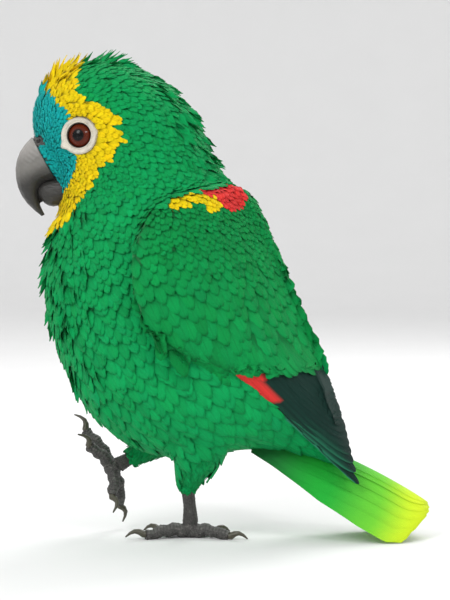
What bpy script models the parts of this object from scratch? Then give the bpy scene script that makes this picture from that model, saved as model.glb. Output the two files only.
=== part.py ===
"""Turquoise-fronted amazon parrot, life size, as a still model.

The bird faces -X with its left side towards -Y. It stands on its left foot,
holds its right foot up in front, and rests the end of its tail on the floor
at z = 0. The origin is on the floor under the standing leg. Lengths below
are in millimetres, and MM turns them into metres.
"""

import math
from collections import namedtuple

import bmesh
import bpy
from mathutils import Matrix, Vector
from mathutils.bvhtree import BVHTree

MM = 0.001
GAP = 0.3  # clearance between two pieces that meet
HIDDEN_REACH = 400.0  # a length larger than the bird

LEFT = -1.0
RIGHT = 1.0
SIDE_NAMES = {LEFT: "left", RIGHT: "right"}

ROUND_STEPS = 2  # lofted rings for each named cross-section
BODY_POINTS = 20  # points round a ring of the body, and so on below
WING_POINTS = 20
TAIL_POINTS = 20
BILL_POINTS = 14
LIMB_POINTS = 12
TOE_POINTS = 10
CLAW_POINTS = 8
EYE_POINTS = 24

# One cross-section of the body: where it meets the front and the back outline
# in the XZ plane, its half width, and how much the front is narrower.
Ring = namedtuple("Ring", "front_x front_z back_x back_z half_width narrowing")

TRUNK_RINGS = [
    Ring(82, 44, 90, 51, 11, 0.0),
    Ring(61, 50, 87, 67, 20, 0.0),
    Ring(35, 54, 81, 87, 29, 0.0),
    Ring(6, 47, 74, 106, 38, 0.0),
    Ring(-27, 51, 66, 124, 44, 0.0),
    Ring(-55, 69, 58, 143, 46.5, 0.02),
    Ring(-72, 96, 49, 162, 47, 0.05),
    Ring(-82, 123, 40, 180, 46, 0.08),
    Ring(-86, 148, 30, 197, 43.5, 0.10),
]
NECK_RINGS = [
    Ring(-84, 170, 20, 213, 39, 0.12),
    Ring(-79, 187, 13, 226, 36, 0.14),
]
HEAD_RINGS = [
    Ring(-76, 202, 8, 238, 34, 0.18),
    Ring(-79, 215, 3, 249, 33.5, 0.22),
    Ring(-88, 229, -4, 258, 32.5, 0.26),
    Ring(-92, 243, -14, 267, 30, 0.26),
    Ring(-90, 257, -26, 274, 25.5, 0.22),
    Ring(-82, 269, -39, 279, 17.5, 0.12),
    Ring(-71, 277, -52, 280.5, 7, 0.0),
]
# Each parting plane holds the Y axis and a line from the front to the back.
NECK_BASE = ((-88, 163), (18, 203))
HEAD_BASE = ((-80, 192), (10, 230))

# One section of a folded wing: its leading and its trailing edge in the XZ
# plane, how far out each edge is, the bulge between them, and the thickness.
WingSection = namedtuple(
    "WingSection", "lead_x lead_z trail_x trail_z lead_y trail_y bulge thickness"
)
WING_SECTIONS = [
    WingSection(0, 206, 19, 210, 27, 17, 2, 4),
    WingSection(-18, 200, 33, 205, 37, 12, 11, 8),
    WingSection(-31, 181, 42, 192, 46, 9, 16, 9),
    WingSection(-34, 160, 50, 173, 50, 7, 18.5, 10),
    WingSection(-31, 141, 58, 153, 52, 6, 18.5, 10),
    WingSection(-22, 124, 66, 133, 52, 6, 18, 10),
    WingSection(-4, 112, 74, 114, 50, 7, 15.5, 9),
    WingSection(17, 104, 81, 98, 45, 8, 12, 8),
    WingSection(40, 88, 87, 80, 38.5, 10, 8, 6.5),
    WingSection(61, 69, 93, 62, 30, 13, 5, 5.5),
    WingSection(80, 50, 99, 45, 26, 16, 2, 4),
    WingSection(94, 36, 103, 33, 23, 19, 0.5, 2.4),
]
# Coverts end and flight feathers start at this line.
COVERT_END = ((17, 103), (80, 104))

# One section of the tail: how far along it is, half width, how much lower its
# edges are than its ridge, and thickness.
TailSection = namedtuple("TailSection", "along half_width drop thickness")
TAIL_ROOT = Vector((38, 0, 62))
TAIL_BEND = Vector((88, 0, 50))
TAIL_END = Vector((142, 0, 17.5))
TAIL_SECTIONS = [
    TailSection(0.00, 12, 10, 9),
    TailSection(0.22, 18, 17, 8),
    TailSection(0.45, 22, 24, 7),
    TailSection(0.70, 24, 28, 6),
    TailSection(0.86, 23.5, 28.6, 5),
    TailSection(0.95, 19.5, 23, 4),
    TailSection(1.00, 11, 10, 2.5),
]

# One section of the bill: outer and inner edge in the XZ plane, half width.
BillSection = namedtuple("BillSection", "outer_x outer_z inner_x inner_z half_width")
UPPER_BILL_SECTIONS = [
    BillSection(-86, 239, -70, 212, 12.5),
    BillSection(-92.5, 235, -76, 210, 12.3),
    BillSection(-99.0, 227, -82, 209.5, 11.2),
    BillSection(-101.7, 217, -86.5, 207.5, 9.6),
    BillSection(-100.2, 206, -88.5, 202, 7.4),
    BillSection(-95.0, 197, -87.5, 195.5, 4.6),
    BillSection(-86.5, 189.5, -84.8, 190.3, 1.0),
]
LOWER_BILL_SECTIONS = [
    BillSection(-67, 199, -69, 212, 9.4),
    BillSection(-74, 196.5, -76, 212, 9.6),
    BillSection(-80, 195, -82.5, 211, 8.8),
    BillSection(-85, 196.8, -87, 208.5, 7.0),
    BillSection(-88.4, 201.5, -89, 205.5, 3.6),
]
CERE_FRONT = ((-94.5, 241), (-77.5, 210))  # the bill's bare root ends here

EYE_PLACE = (-63.5, 236.0)  # x and z of the eye on the coat's surface
EYE_AXIS = Vector((-0.26, 1.0, 0.05)).normalized()  # of the right eye
EYEBALL_RADIUS = 9.0
EYEBALL_DEPTH = 8.3  # from the coat's surface in to the eyeball's centre
EYE_RING_RADIUS = 10.8
EYE_RING_BACK = 4.2
EYE_RING_OUTER_DEPTH = 0.9
EYE_RING_LID_DEPTH = 2.8
EYE_RING_EDGE = 1.0  # width of the ring's rounded rim

# A limb's centre and its two radii at points along it, from the body outwards.
Stop = namedtuple("Stop", "x y z radius_along radius_across")
THIGH_STOPS = {
    LEFT: [
        Stop(8, -21, 78, 22, 15),
        Stop(6, -19, 60, 19, 14),
        Stop(3, -15, 46, 13.5, 12),
        Stop(0, -11, 36, 8.6, 8.4),
        Stop(-1, -8.4, 29, 5.4, 5.4),
    ],
    RIGHT: [
        Stop(-6, 24, 76, 21, 14),
        Stop(-15, 24.5, 63, 17, 13),
        Stop(-24, 24, 53, 12.5, 11),
        Stop(-32, 23, 46.5, 8.2, 8.0),
        Stop(-37.5, 22.5, 43.5, 5.2, 5.2),
    ],
}
TARSUS_STOPS = {
    LEFT: [
        Stop(-1.5, -10.2, 34, 3.8, 3.8),
        Stop(-1.0, -7.7, 27, 3.7, 3.7),
        Stop(-0.3, -4.8, 20, 3.6, 3.6),
        Stop(0, -2.1, 13.5, 4.1, 4.2),
        Stop(0, -0.4, 9.4, 4.6, 4.8),
    ],
    RIGHT: [
        Stop(-32.5, 23.4, 46.2, 3.8, 3.8),
        Stop(-38.0, 22.2, 43.1, 3.8, 3.9),
        Stop(-43.1, 20.8, 40.4, 4.6, 4.8),
    ],
}

# A foot's hub, the way its front toes point and the way its back faces.
Foot = namedtuple("Foot", "hub forward up")
FEET = {
    LEFT: Foot(Vector((0, 0, 5.1)), Vector((-1, 0, 0)), Vector((0, 0, 1))),
    RIGHT: Foot(
        Vector((-47, 20.5, 38.6)), Vector((-0.42, 0, 0.91)), Vector((0.91, 0, 0.42))
    ),
}
HUB_RADIUS = 5.4

# A toe: its number, heading in degrees towards the other foot, length to the
# claw, arch and claw's length. Two toes point forwards and two backwards.
Toe = namedtuple("Toe", "number forwards heading length arch claw_length")
TOES = [
    Toe(1, False, 30, 16, 0.9, 9.5),
    Toe(2, True, 27, 20, 1.0, 10.0),
    Toe(3, True, -17, 27, 1.5, 11.0),
    Toe(4, False, -20, 24, 1.4, 10.5),
]
TOE_ROOT_RADIUS = 3.9
TOE_TIP_RADIUS = 2.9
TOE_PAD_SWELL = 0.35
TOE_PAD_LENGTH = 8.5
CLAW_ROOT_RADIUS = 2.1
CLAW_TIP_RADIUS = 0.4
CLAW_COLLAR = 1.1  # a claw's straight start, square to its toe
CLAW_LIFT = 0.3  # how much above its toe's middle a claw grows
CLAW_ARCH = 2.2
CLAW_DROOP = 1.1  # how much lower than its root a claw's tip is
TOE_STEPS = 7
CLAW_STEPS = 4
PAD_SINK = 0.35  # how much a bearing pad is flattened by the floor
RAISED_CURL = 3.5  # how far a raised foot's toes curl to their sole


def srgb(red, green, blue):
    """Linear colour of an 8-bit screen colour."""

    def linear(level):
        share = level / 255
        if share <= 0.04045:
            return share / 12.92
        return ((share + 0.055) / 1.055) ** 2.4

    return (linear(red), linear(green), linear(blue), 1.0)


# Colour and roughness of each part.
GREEN_COAT = (srgb(3, 150, 79), 0.62)
WING_GREEN = (srgb(1, 143, 69), 0.58)
FLIGHT_DARK = (srgb(14, 47, 40), 0.5)
TAIL_GREEN = (srgb(60, 180, 52), 0.55)
CERE_SKIN = (srgb(96, 92, 88), 0.6)
BILL_GREY = (srgb(120, 117, 113), 0.35)
BILL_DARK = (srgb(51, 51, 49), 0.35)
RING_SKIN = (srgb(208, 204, 192), 0.55)
IRIS_BROWN = (srgb(97, 30, 13), 0.1)
FOOT_SKIN = (srgb(77, 76, 74), 0.6)
CLAW_HORN = (srgb(60, 59, 50), 0.4)


def make_material(name, look):
    """A Principled material from a colour and a roughness."""
    colour, roughness = look
    material = bpy.data.materials.new(name)
    material.use_nodes = True
    shader = material.node_tree.nodes["Principled BSDF"]
    shader.inputs["Base Color"].default_value = colour
    shader.inputs["Roughness"].default_value = roughness
    shader.inputs["Metallic"].default_value = 0.0
    return material


def smooth_rows(rows, steps=ROUND_STEPS):
    """Rows read from a Catmull-Rom curve through the given rows."""
    found = []
    for index in range(len(rows) - 1):
        here = rows[index]
        there = rows[index + 1]
        before = rows[max(index - 1, 0)]
        after = rows[min(index + 2, len(rows) - 1)]
        for step in range(steps):
            t = step / steps
            row = [
                0.5
                * (
                    2 * b
                    + (c - a) * t
                    + (2 * a - 5 * b + 4 * c - d) * t * t
                    + (3 * b - a - 3 * c + d) * t * t * t
                )
                for a, b, c, d in zip(before, here, there, after)
            ]
            found.append(type(here)(*row))
    found.append(rows[-1])
    return found


def turn_angles(count):
    return [2 * math.pi * index / count for index in range(count)]


def loft(rings):
    """A closed mesh through rings of points, by extruding one cap onwards."""
    mesh = bmesh.new()
    bmesh.ops.create_circle(mesh, cap_ends=True, segments=len(rings[0]), radius=1)
    mesh.faces.ensure_lookup_table()
    start = mesh.faces[0]
    for vertex, point in zip(start.verts, rings[0]):
        vertex.co = point * MM
    end = start
    for ring in rings[1:]:
        grown = bmesh.ops.extrude_face_region(mesh, geom=[end])
        if end is not start:
            bmesh.ops.delete(mesh, geom=[end], context="FACES_ONLY")
        end = next(item for item in grown["geom"] if isinstance(item, bmesh.types.BMFace))
        for vertex, point in zip(end.verts, ring):
            vertex.co = point * MM
    bmesh.ops.recalc_face_normals(mesh, faces=mesh.faces)
    return mesh


def close_rim(mesh):
    """Fills the hole that a plane has cut."""
    rim = [edge for edge in mesh.edges if edge.is_boundary]
    bmesh.ops.holes_fill(mesh, edges=rim)
    bmesh.ops.recalc_face_normals(mesh, faces=mesh.faces)


def keep_side(mesh, line, above, gap=GAP / 2):
    """Keeps one side of the plane through the Y axis and a line in XZ."""
    (from_x, from_z), (to_x, to_z) = line
    start = Vector((from_x, 0, from_z))
    along = Vector((to_x - from_x, 0, to_z - from_z)).normalized()
    normal = Vector((-along.z, 0, along.x))
    if not above:
        normal.negate()
    bmesh.ops.bisect_plane(
        mesh,
        geom=mesh.verts[:] + mesh.edges[:] + mesh.faces[:],
        plane_co=(start + normal * gap) * MM,
        plane_no=normal,
        clear_inner=True,
    )
    close_rim(mesh)
    return mesh


def body_mesh(grow=0.0):
    """The feathered trunk, neck and head, larger all round by grow."""
    rings = []
    for ring in smooth_rows(TRUNK_RINGS + NECK_RINGS + HEAD_RINGS):
        front = Vector((ring.front_x, 0, ring.front_z))
        back = Vector((ring.back_x, 0, ring.back_z))
        centre = (front + back) / 2
        reach = front - centre
        reach += reach.normalized() * grow
        points = []
        for angle in turn_angles(BODY_POINTS):
            width = (ring.half_width + grow) * (1 - ring.narrowing * math.cos(angle))
            side = Vector((0, width * math.sin(angle), 0))
            points.append(centre + reach * math.cos(angle) + side)
        rings.append(points)
    return loft(rings)


def wing_mesh(side):
    """A folded wing from shoulder to tip, as a blade that bulges outwards."""
    rings = []
    for section in smooth_rows(WING_SECTIONS):
        lead = Vector((section.lead_x, section.lead_y * side, section.lead_z))
        trail = Vector((section.trail_x, section.trail_y * side, section.trail_z))
        centre = (lead + trail) / 2
        reach = (lead - trail) / 2
        points = []
        for angle in turn_angles(WING_POINTS):
            out = section.bulge * math.sin(angle) ** 2
            out += section.thickness / 2 * math.sin(angle)
            points.append(centre + reach * math.cos(angle) + Vector((0, out * side, 0)))
        rings.append(points)
    return loft(rings)


def tail_ridge(along):
    """A point of the tail's ridge, and the tail's direction there."""
    rest = 1 - along
    point = TAIL_ROOT * rest * rest + TAIL_BEND * 2 * rest * along
    point += TAIL_END * along * along
    heading = (TAIL_BEND - TAIL_ROOT) * rest + (TAIL_END - TAIL_BEND) * along
    return point, heading.normalized()


def tail_mesh(grow=0.0):
    """The closed tail: a long roof of feathers, rounded at its end."""
    rings = []
    for section in smooth_rows(TAIL_SECTIONS):
        ridge, heading = tail_ridge(section.along)
        up = Vector((-heading.z, 0, heading.x))
        points = []
        for angle in turn_angles(TAIL_POINTS):
            rise = (section.thickness / 2 + grow) * math.sin(angle)
            rise -= section.drop * math.cos(angle) ** 2
            side = Vector((0, (section.half_width + grow) * math.cos(angle), 0))
            points.append(ridge + side + up * rise)
        rings.append(points)
    return loft(rings)


def bill_mesh(sections, grow=0.0):
    """Half of the bill through its sections, larger all round by grow."""
    rings = []
    for section in smooth_rows(sections):
        outer = Vector((section.outer_x, 0, section.outer_z))
        inner = Vector((section.inner_x, 0, section.inner_z))
        centre = (outer + inner) / 2
        reach = outer - centre
        reach += reach.normalized() * grow
        width = Vector((0, section.half_width + grow, 0))
        rings.append(
            [
                centre + reach * math.cos(angle) + width * math.sin(angle)
                for angle in turn_angles(BILL_POINTS)
            ]
        )
    return loft(rings)


def limb_mesh(stops, points, grow=0.0):
    """A limb whose cross-sections are square to its path, larger by grow."""
    centres = [Vector((stop.x, stop.y, stop.z)) for stop in stops]
    last = len(stops) - 1
    centres[0] -= (centres[1] - centres[0]).normalized() * grow
    centres[last] += (centres[last] - centres[last - 1]).normalized() * grow
    rings = []
    for index, stop in enumerate(stops):
        along = (centres[min(index + 1, last)] - centres[max(index - 1, 0)]).normalized()
        lift = along.cross(Vector((0, 1, 0))).normalized()
        side = lift.cross(along)
        rings.append(
            [
                centres[index]
                + lift * (stop.radius_along + grow) * math.cos(angle)
                + side * (stop.radius_across + grow) * math.sin(angle)
                for angle in turn_angles(points)
            ]
        )
    return loft(rings)


def eye_frame(side):
    """A matrix whose Z axis points out of the head through the eye."""
    outside = Vector((EYE_PLACE[0], HIDDEN_REACH, EYE_PLACE[1])) * MM
    mesh = body_mesh()
    tree = BVHTree.FromBMesh(mesh)
    place = tree.ray_cast(outside, Vector((0, -1, 0)))[0]
    mesh.free()
    place.y *= side
    axis = Vector((EYE_AXIS.x, EYE_AXIS.y * side, EYE_AXIS.z))
    return Matrix.Translation(place) @ axis.to_track_quat("Z", "Y").to_matrix().to_4x4()


def eye_mesh(side):
    """The eye's dome, in front of the back of its bare ring."""
    mesh = bmesh.new()
    bmesh.ops.create_uvsphere(
        mesh,
        u_segments=EYE_POINTS,
        v_segments=EYE_POINTS // 2,
        radius=(EYEBALL_RADIUS - GAP) * MM,
    )
    bmesh.ops.translate(mesh, verts=mesh.verts, vec=(0, 0, -EYEBALL_DEPTH * MM))
    bmesh.ops.bisect_plane(
        mesh,
        geom=mesh.verts[:] + mesh.edges[:] + mesh.faces[:],
        plane_co=(0, 0, -EYE_RING_BACK * MM),
        plane_no=(0, 0, 1),
        clear_inner=True,
    )
    close_rim(mesh)
    bmesh.ops.transform(mesh, matrix=eye_frame(side), verts=mesh.verts)
    return mesh


def eyeball_width(depth):
    """The eyeball's radius where it passes a depth below the coat."""
    return math.sqrt(EYEBALL_RADIUS**2 - (EYEBALL_DEPTH - depth) ** 2)


def eye_ring_mesh(side):
    """The bare ring round the eye, sloping in to the edge of the lids."""
    profile = [
        (EYE_RING_RADIUS, EYE_RING_BACK),
        (EYE_RING_RADIUS, EYE_RING_OUTER_DEPTH + EYE_RING_EDGE),
        (EYE_RING_RADIUS - EYE_RING_EDGE, EYE_RING_OUTER_DEPTH),
        (eyeball_width(EYE_RING_LID_DEPTH), EYE_RING_LID_DEPTH),
        (eyeball_width(EYE_RING_BACK), EYE_RING_BACK),
    ]
    mesh = bmesh.new()
    corners = [mesh.verts.new((radius * MM, 0, -depth * MM)) for radius, depth in profile]
    edges = [mesh.edges.new((corners[index - 1], corner)) for index, corner in enumerate(corners)]
    bmesh.ops.spin(
        mesh,
        geom=corners + edges,
        axis=(0, 0, 1),
        angle=2 * math.pi,
        steps=EYE_POINTS,
        use_merge=True,
    )
    bmesh.ops.transform(mesh, matrix=eye_frame(side), verts=mesh.verts)
    bmesh.ops.recalc_face_normals(mesh, faces=mesh.faces)
    return mesh


def socket_mesh(side):
    """The room in the head for the eye and its ring."""
    reach = 2 * EYE_RING_RADIUS
    mesh = bmesh.new()
    bmesh.ops.create_cone(
        mesh,
        cap_ends=True,
        segments=EYE_POINTS,
        radius1=(EYE_RING_RADIUS + GAP) * MM,
        radius2=(EYE_RING_RADIUS + GAP) * MM,
        depth=reach * MM,
    )
    lift = reach / 2 - EYE_RING_BACK - GAP
    bmesh.ops.translate(mesh, verts=mesh.verts, vec=(0, 0, lift * MM))
    bmesh.ops.transform(mesh, matrix=eye_frame(side), verts=mesh.verts)
    return mesh


def toe_direction(toe, foot, side):
    """The way a toe points in the plane of its foot."""
    heading = math.radians(toe.heading)
    ahead = foot.forward if toe.forwards else -foot.forward
    inwards = Vector((0, -side, 0))
    return ahead * math.cos(heading) + inwards * math.sin(heading)


def toe_stops(toe, foot, side, curl):
    """Centres and radii of a toe, which bears on its pads if it isn't curled."""
    direction = toe_direction(toe, foot, side)
    hub_height = FEET[LEFT].hub.z
    stops = []
    for step in range(TOE_STEPS + 1):
        share = step / TOE_STEPS
        radius = TOE_ROOT_RADIUS + (TOE_TIP_RADIUS - TOE_ROOT_RADIUS) * share
        radius += TOE_PAD_SWELL * math.sin(2 * math.pi * toe.length * share / TOE_PAD_LENGTH)
        height = radius - PAD_SINK + toe.arch * math.sin(math.pi * share) ** 2
        height += (hub_height - TOE_ROOT_RADIUS) * (1 - share) ** 3
        height -= curl * share * share
        place = foot.hub + direction * toe.length * share
        place += foot.up * (height - hub_height)
        stops.append(Stop(*place, radius, radius))
    return stops


def claw_stops(toe, foot, side, curl):
    """Centres and radii of a claw that arches from its toe down to the floor."""
    stops = toe_stops(toe, foot, side, curl)
    end = Vector(stops[-1][:3])
    along = (end - Vector(stops[-2][:3])).normalized()
    root = end + along * GAP + foot.up * CLAW_LIFT
    found = [Stop(*root, CLAW_ROOT_RADIUS, CLAW_ROOT_RADIUS)]
    root += along * CLAW_COLLAR
    level = toe_direction(toe, foot, side)
    droop = CLAW_DROOP + curl / 2
    for step in range(CLAW_STEPS + 1):
        share = step / CLAW_STEPS
        radius = CLAW_ROOT_RADIUS + (CLAW_TIP_RADIUS - CLAW_ROOT_RADIUS) * share
        rise = CLAW_ARCH * math.sin(math.pi * share) - droop * share * share
        place = root + level * toe.claw_length * share + foot.up * rise
        found.append(Stop(*place, radius, radius))
    return found


def floor_mesh():
    """Everything below the floor."""
    mesh = bmesh.new()
    bmesh.ops.create_cube(mesh, size=HIDDEN_REACH * MM)
    bmesh.ops.translate(mesh, verts=mesh.verts, vec=(0, 0, -HIDDEN_REACH / 2 * MM))
    return mesh


def add_piece(name, mesh, material):
    """An object of the part from a bmesh, shaded smooth but for hard edges."""
    data = bpy.data.meshes.new(name)
    mesh.to_mesh(data)
    mesh.free()
    data.materials.append(material)
    data.shade_smooth()
    data.set_sharp_from_angle(angle=math.radians(40))
    piece = bpy.data.objects.new(name, data)
    bpy.context.scene.collection.objects.link(piece)
    return piece


def add_helper(name, mesh):
    """A hidden object that a Boolean takes away or joins on."""
    data = bpy.data.meshes.new(name)
    mesh.to_mesh(data)
    mesh.free()
    helper = bpy.data.objects.new(name, data)
    helper.hide_render = True
    helper.display_type = "WIRE"
    bpy.context.scene.collection.objects.link(helper)
    return helper


def combine(piece, operation, *helpers):
    """Adds a Boolean modifier for each helper."""
    for helper in helpers:
        boolean = piece.modifiers.new(operation.lower() + " " + helper.name, "BOOLEAN")
        boolean.operation = operation
        boolean.solver = "EXACT"
        boolean.object = helper


def add_body(coat):
    """Trunk, neck and head: one feathered form parted by two thin cuts."""
    add_piece("trunk", keep_side(body_mesh(), NECK_BASE, False), coat)
    neck = keep_side(body_mesh(), NECK_BASE, True)
    add_piece("neck", keep_side(neck, HEAD_BASE, False), coat)
    return add_piece("head", keep_side(body_mesh(), HEAD_BASE, True), coat)


def add_bill(head):
    """Upper bill with its bare root, and lower bill, let into the head."""
    upper_room = add_helper("upper bill room", bill_mesh(UPPER_BILL_SECTIONS, GAP))
    lower_room = add_helper("lower bill room", bill_mesh(LOWER_BILL_SECTIONS, GAP))
    combine(head, "DIFFERENCE", upper_room, lower_room)
    cere = keep_side(bill_mesh(UPPER_BILL_SECTIONS), CERE_FRONT, True)
    add_piece("cere", cere, make_material("cere_skin", CERE_SKIN))
    upper = keep_side(bill_mesh(UPPER_BILL_SECTIONS), CERE_FRONT, False)
    add_piece("upper_bill", upper, make_material("bill_grey", BILL_GREY))
    dark = make_material("bill_dark", BILL_DARK)
    lower = add_piece("lower_bill", bill_mesh(LOWER_BILL_SECTIONS), dark)
    combine(lower, "DIFFERENCE", upper_room)


def add_eyes(head):
    """Each eye in its bare ring, set into a socket in the head."""
    iris = make_material("iris_brown", IRIS_BROWN)
    bare = make_material("ring_skin", RING_SKIN)
    for side, name in SIDE_NAMES.items():
        combine(head, "DIFFERENCE", add_helper("socket " + name, socket_mesh(side)))
        add_piece("eye_" + name, eye_mesh(side), iris)
        add_piece("eye_ring_" + name, eye_ring_mesh(side), bare)


def add_tail(body_room, floor):
    tail = add_piece("tail", tail_mesh(), make_material("tail_green", TAIL_GREEN))
    combine(tail, "DIFFERENCE", body_room, floor)


def add_wings(body_room):
    """Each folded wing: its coverts, and the flight feathers beyond them."""
    coverts = make_material("wing_green", WING_GREEN)
    flights = make_material("flight_dark", FLIGHT_DARK)
    tail_room = add_helper("tail room", tail_mesh(GAP))
    for side, name in SIDE_NAMES.items():
        upper = keep_side(wing_mesh(side), COVERT_END, True)
        combine(add_piece("wing_" + name, upper, coverts), "DIFFERENCE", body_room)
        lower = keep_side(wing_mesh(side), COVERT_END, False)
        feathers = add_piece("flight_feathers_" + name, lower, flights)
        combine(feathers, "DIFFERENCE", body_room, tail_room)


def hub_mesh(foot, grow=0.0):
    """The ball that a foot's toes grow from."""
    mesh = bmesh.new()
    bmesh.ops.create_icosphere(mesh, subdivisions=2, radius=(HUB_RADIUS + grow) * MM)
    bmesh.ops.translate(mesh, verts=mesh.verts, vec=foot.hub * MM)
    return mesh


def add_foot(side, name, floor):
    """A foot of four toes joined at its hub, and a claw on each toe."""
    foot = FEET[side]
    curl = RAISED_CURL if side == RIGHT else 0.0
    skin = make_material("foot_skin_" + name, FOOT_SKIN)
    piece = add_piece("foot_" + name, hub_mesh(foot), skin)
    horn = make_material("claw_horn_" + name, CLAW_HORN)
    for toe in TOES:
        label = name + "_" + str(toe.number)
        toe_part = limb_mesh(toe_stops(toe, foot, side, curl), TOE_POINTS)
        combine(piece, "UNION", add_helper("toe " + label, toe_part))
        claw = limb_mesh(claw_stops(toe, foot, side, curl), CLAW_POINTS)
        add_piece("claw_" + label, claw, horn)
    if side == LEFT:
        combine(piece, "DIFFERENCE", floor)


def add_legs(coat, body_room, floor):
    """Each leg: feathered thigh, bare tarsus and foot."""
    skin = make_material("tarsus_skin", FOOT_SKIN)
    for side, name in SIDE_NAMES.items():
        thigh = add_piece("thigh_" + name, limb_mesh(THIGH_STOPS[side], LIMB_POINTS), coat)
        tarsus_room = limb_mesh(TARSUS_STOPS[side], LIMB_POINTS, GAP)
        combine(thigh, "DIFFERENCE", body_room, add_helper("tarsus room " + name, tarsus_room))
        tarsus = limb_mesh(TARSUS_STOPS[side], LIMB_POINTS)
        tarsus = add_piece("tarsus_" + name, tarsus, skin)
        hub_room = add_helper("hub room " + name, hub_mesh(FEET[side], GAP))
        combine(tarsus, "DIFFERENCE", hub_room)
        add_foot(side, name, floor)


def main():
    for old in list(bpy.data.objects):
        bpy.data.objects.remove(old, do_unlink=True)
    coat = make_material("green_coat", GREEN_COAT)
    body_room = add_helper("body room", body_mesh(GAP))
    floor = add_helper("below the floor", floor_mesh())
    head = add_body(coat)
    add_bill(head)
    add_eyes(head)
    add_tail(body_room, floor)
    add_wings(body_room)
    add_legs(coat, body_room, floor)


main()
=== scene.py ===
"""Looks of a life-size turquoise-fronted amazon parrot, as a still model.

The bird faces -X with its left side towards -Y, on a floor at z = 0. One skin
lies inside the solids of its flesh, and a coat of solid feathers lies on it.
Sizes below are in millimetres unless a comment says otherwise.
"""

import math
from collections import namedtuple
from contextlib import contextmanager

import bmesh
import bpy
import numpy as np
from bpy.props import FloatProperty, FloatVectorProperty, IntProperty, PointerProperty
from mathutils import Matrix, Vector, noise
from mathutils.bvhtree import BVHTree
from mathutils.kdtree import KDTree


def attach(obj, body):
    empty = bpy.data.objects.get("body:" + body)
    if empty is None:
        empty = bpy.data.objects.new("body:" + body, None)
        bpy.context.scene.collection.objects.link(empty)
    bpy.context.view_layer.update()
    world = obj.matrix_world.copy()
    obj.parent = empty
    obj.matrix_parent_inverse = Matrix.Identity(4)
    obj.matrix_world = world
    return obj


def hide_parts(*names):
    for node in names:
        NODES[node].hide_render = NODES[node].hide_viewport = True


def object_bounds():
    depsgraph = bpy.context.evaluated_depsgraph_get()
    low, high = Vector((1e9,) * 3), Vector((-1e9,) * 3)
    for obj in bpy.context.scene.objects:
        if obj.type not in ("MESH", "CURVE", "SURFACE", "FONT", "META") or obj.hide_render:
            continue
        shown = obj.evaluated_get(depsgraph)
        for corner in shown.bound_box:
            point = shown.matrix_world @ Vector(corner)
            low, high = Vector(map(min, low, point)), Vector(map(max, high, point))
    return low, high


bl_info = {
    "name": "Amazon parrot looks",
    "version": (1, 0, 0),
    "blender": (4, 5, 0),
    "location": "3D View > Sidebar > Parrot",
    "description": "Skin, feathers, bill, eyes and feet of a life-size amazon parrot",
    "category": "Object",
}

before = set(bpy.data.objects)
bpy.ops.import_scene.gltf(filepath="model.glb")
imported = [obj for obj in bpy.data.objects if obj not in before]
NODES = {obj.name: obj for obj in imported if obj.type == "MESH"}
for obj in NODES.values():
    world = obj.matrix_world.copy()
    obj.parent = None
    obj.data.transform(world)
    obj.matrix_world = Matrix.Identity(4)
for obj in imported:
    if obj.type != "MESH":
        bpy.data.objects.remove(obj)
CAD_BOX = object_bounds()

MM = 0.001
LEFT = -1
RIGHT = 1
SIDE_NAMES = {LEFT: "left", RIGHT: "right"}

FLESH = (
    "head",
    "neck",
    "trunk",
    "thigh_left",
    "thigh_right",
    "wing_left",
    "wing_right",
)
# The skin also runs on under these, so that no gap opens at their roots.
UNDERLAID = (
    "cere",
    "upper_bill",
    "lower_bill",
    "eye_left",
    "eye_right",
    "eye_ring_left",
    "eye_ring_right",
)
CORE = FLESH + UNDERLAID
HEAD = CORE.index("head")
NECK = CORE.index("neck")
TRUNK = CORE.index("trunk")
THIGHS = {CORE.index("thigh_left"): LEFT, CORE.index("thigh_right"): RIGHT}
WINGS = {CORE.index("wing_left"): LEFT, CORE.index("wing_right"): RIGHT}
CERE = CORE.index("cere")
BILL_PARTS = (CORE.index("upper_bill"), CORE.index("lower_bill"))
EYE_PARTS = tuple(CORE.index(name) for name in UNDERLAID if name.startswith("eye"))

# Where the face's feathers start and fan out from.
BILL_ROOT = Vector((-92.0, 0.0, 222.0)) * MM
# The horn's growth layers are rings round this place.
GROWTH_CENTRE = BILL_ROOT + Vector((0.02, 0.0, 0.02))
TRUNK_AXIS = Vector((0.6, 0.0, -0.8)).normalized()
NECK_AXIS = Vector((0.42, 0.0, -0.9)).normalized()
WING_AXIS = Vector((0.445, 0.0, -0.895)).normalized()
THIGH_AXES = {
    LEFT: Vector((-0.18, 0.2, -0.95)).normalized(),
    RIGHT: Vector((-0.68, -0.05, -0.72)).normalized(),
}
# Coverts end and flight feathers start at this line in the XZ plane.
COVERT_END = (Vector((17.0, 101.5)) * MM, Vector((75.5, 100.5)) * MM)
# The wing's top, and where its coverts have grown to their full length.
WING_TOP = 206.0
LONG_COVERTS = 103.0

# Outlines of the markings in the XZ plane, seen from the side.
TURQUOISE_PATCH = (
    (-84, 300),
    (-84, 267),
    (-77, 256),
    (-68, 248),
    (-70, 236),
    (-65, 226),
    (-64.5, 220),
    (-67.5, 212),
    (-73, 201),
    (-76, 200),
    (-130, 200),
    (-130, 300),
)
YELLOW_PATCH = (
    (-62, 300),
    (-62, 277),
    (-65, 269),
    (-64, 260),
    (-54, 255),
    (-45.5, 250),
    (-39, 244),
    (-41.5, 238),
    (-36, 234),
    (-39, 229),
    (-42, 222.5),
    (-50, 218.5),
    (-54, 208),
    (-66.5, 193),
    (-73, 184),
    (-80, 179),
    (-130, 176),
    (-130, 300),
)
SHOULDER_YELLOW = (
    (-11, 195),
    (-9, 212),
    (6, 212),
    (19, 202),
    (19, 193),
    (11, 192.5),
    (7, 198),
    (1, 196),
    (-4, 192),
)
SHOULDER_RED = (
    (-1, 213),
    (32, 213),
    (32, 198),
    (25, 191.5),
    (19, 195),
    (15, 201),
    (6, 202),
    (0, 206),
)
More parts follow.
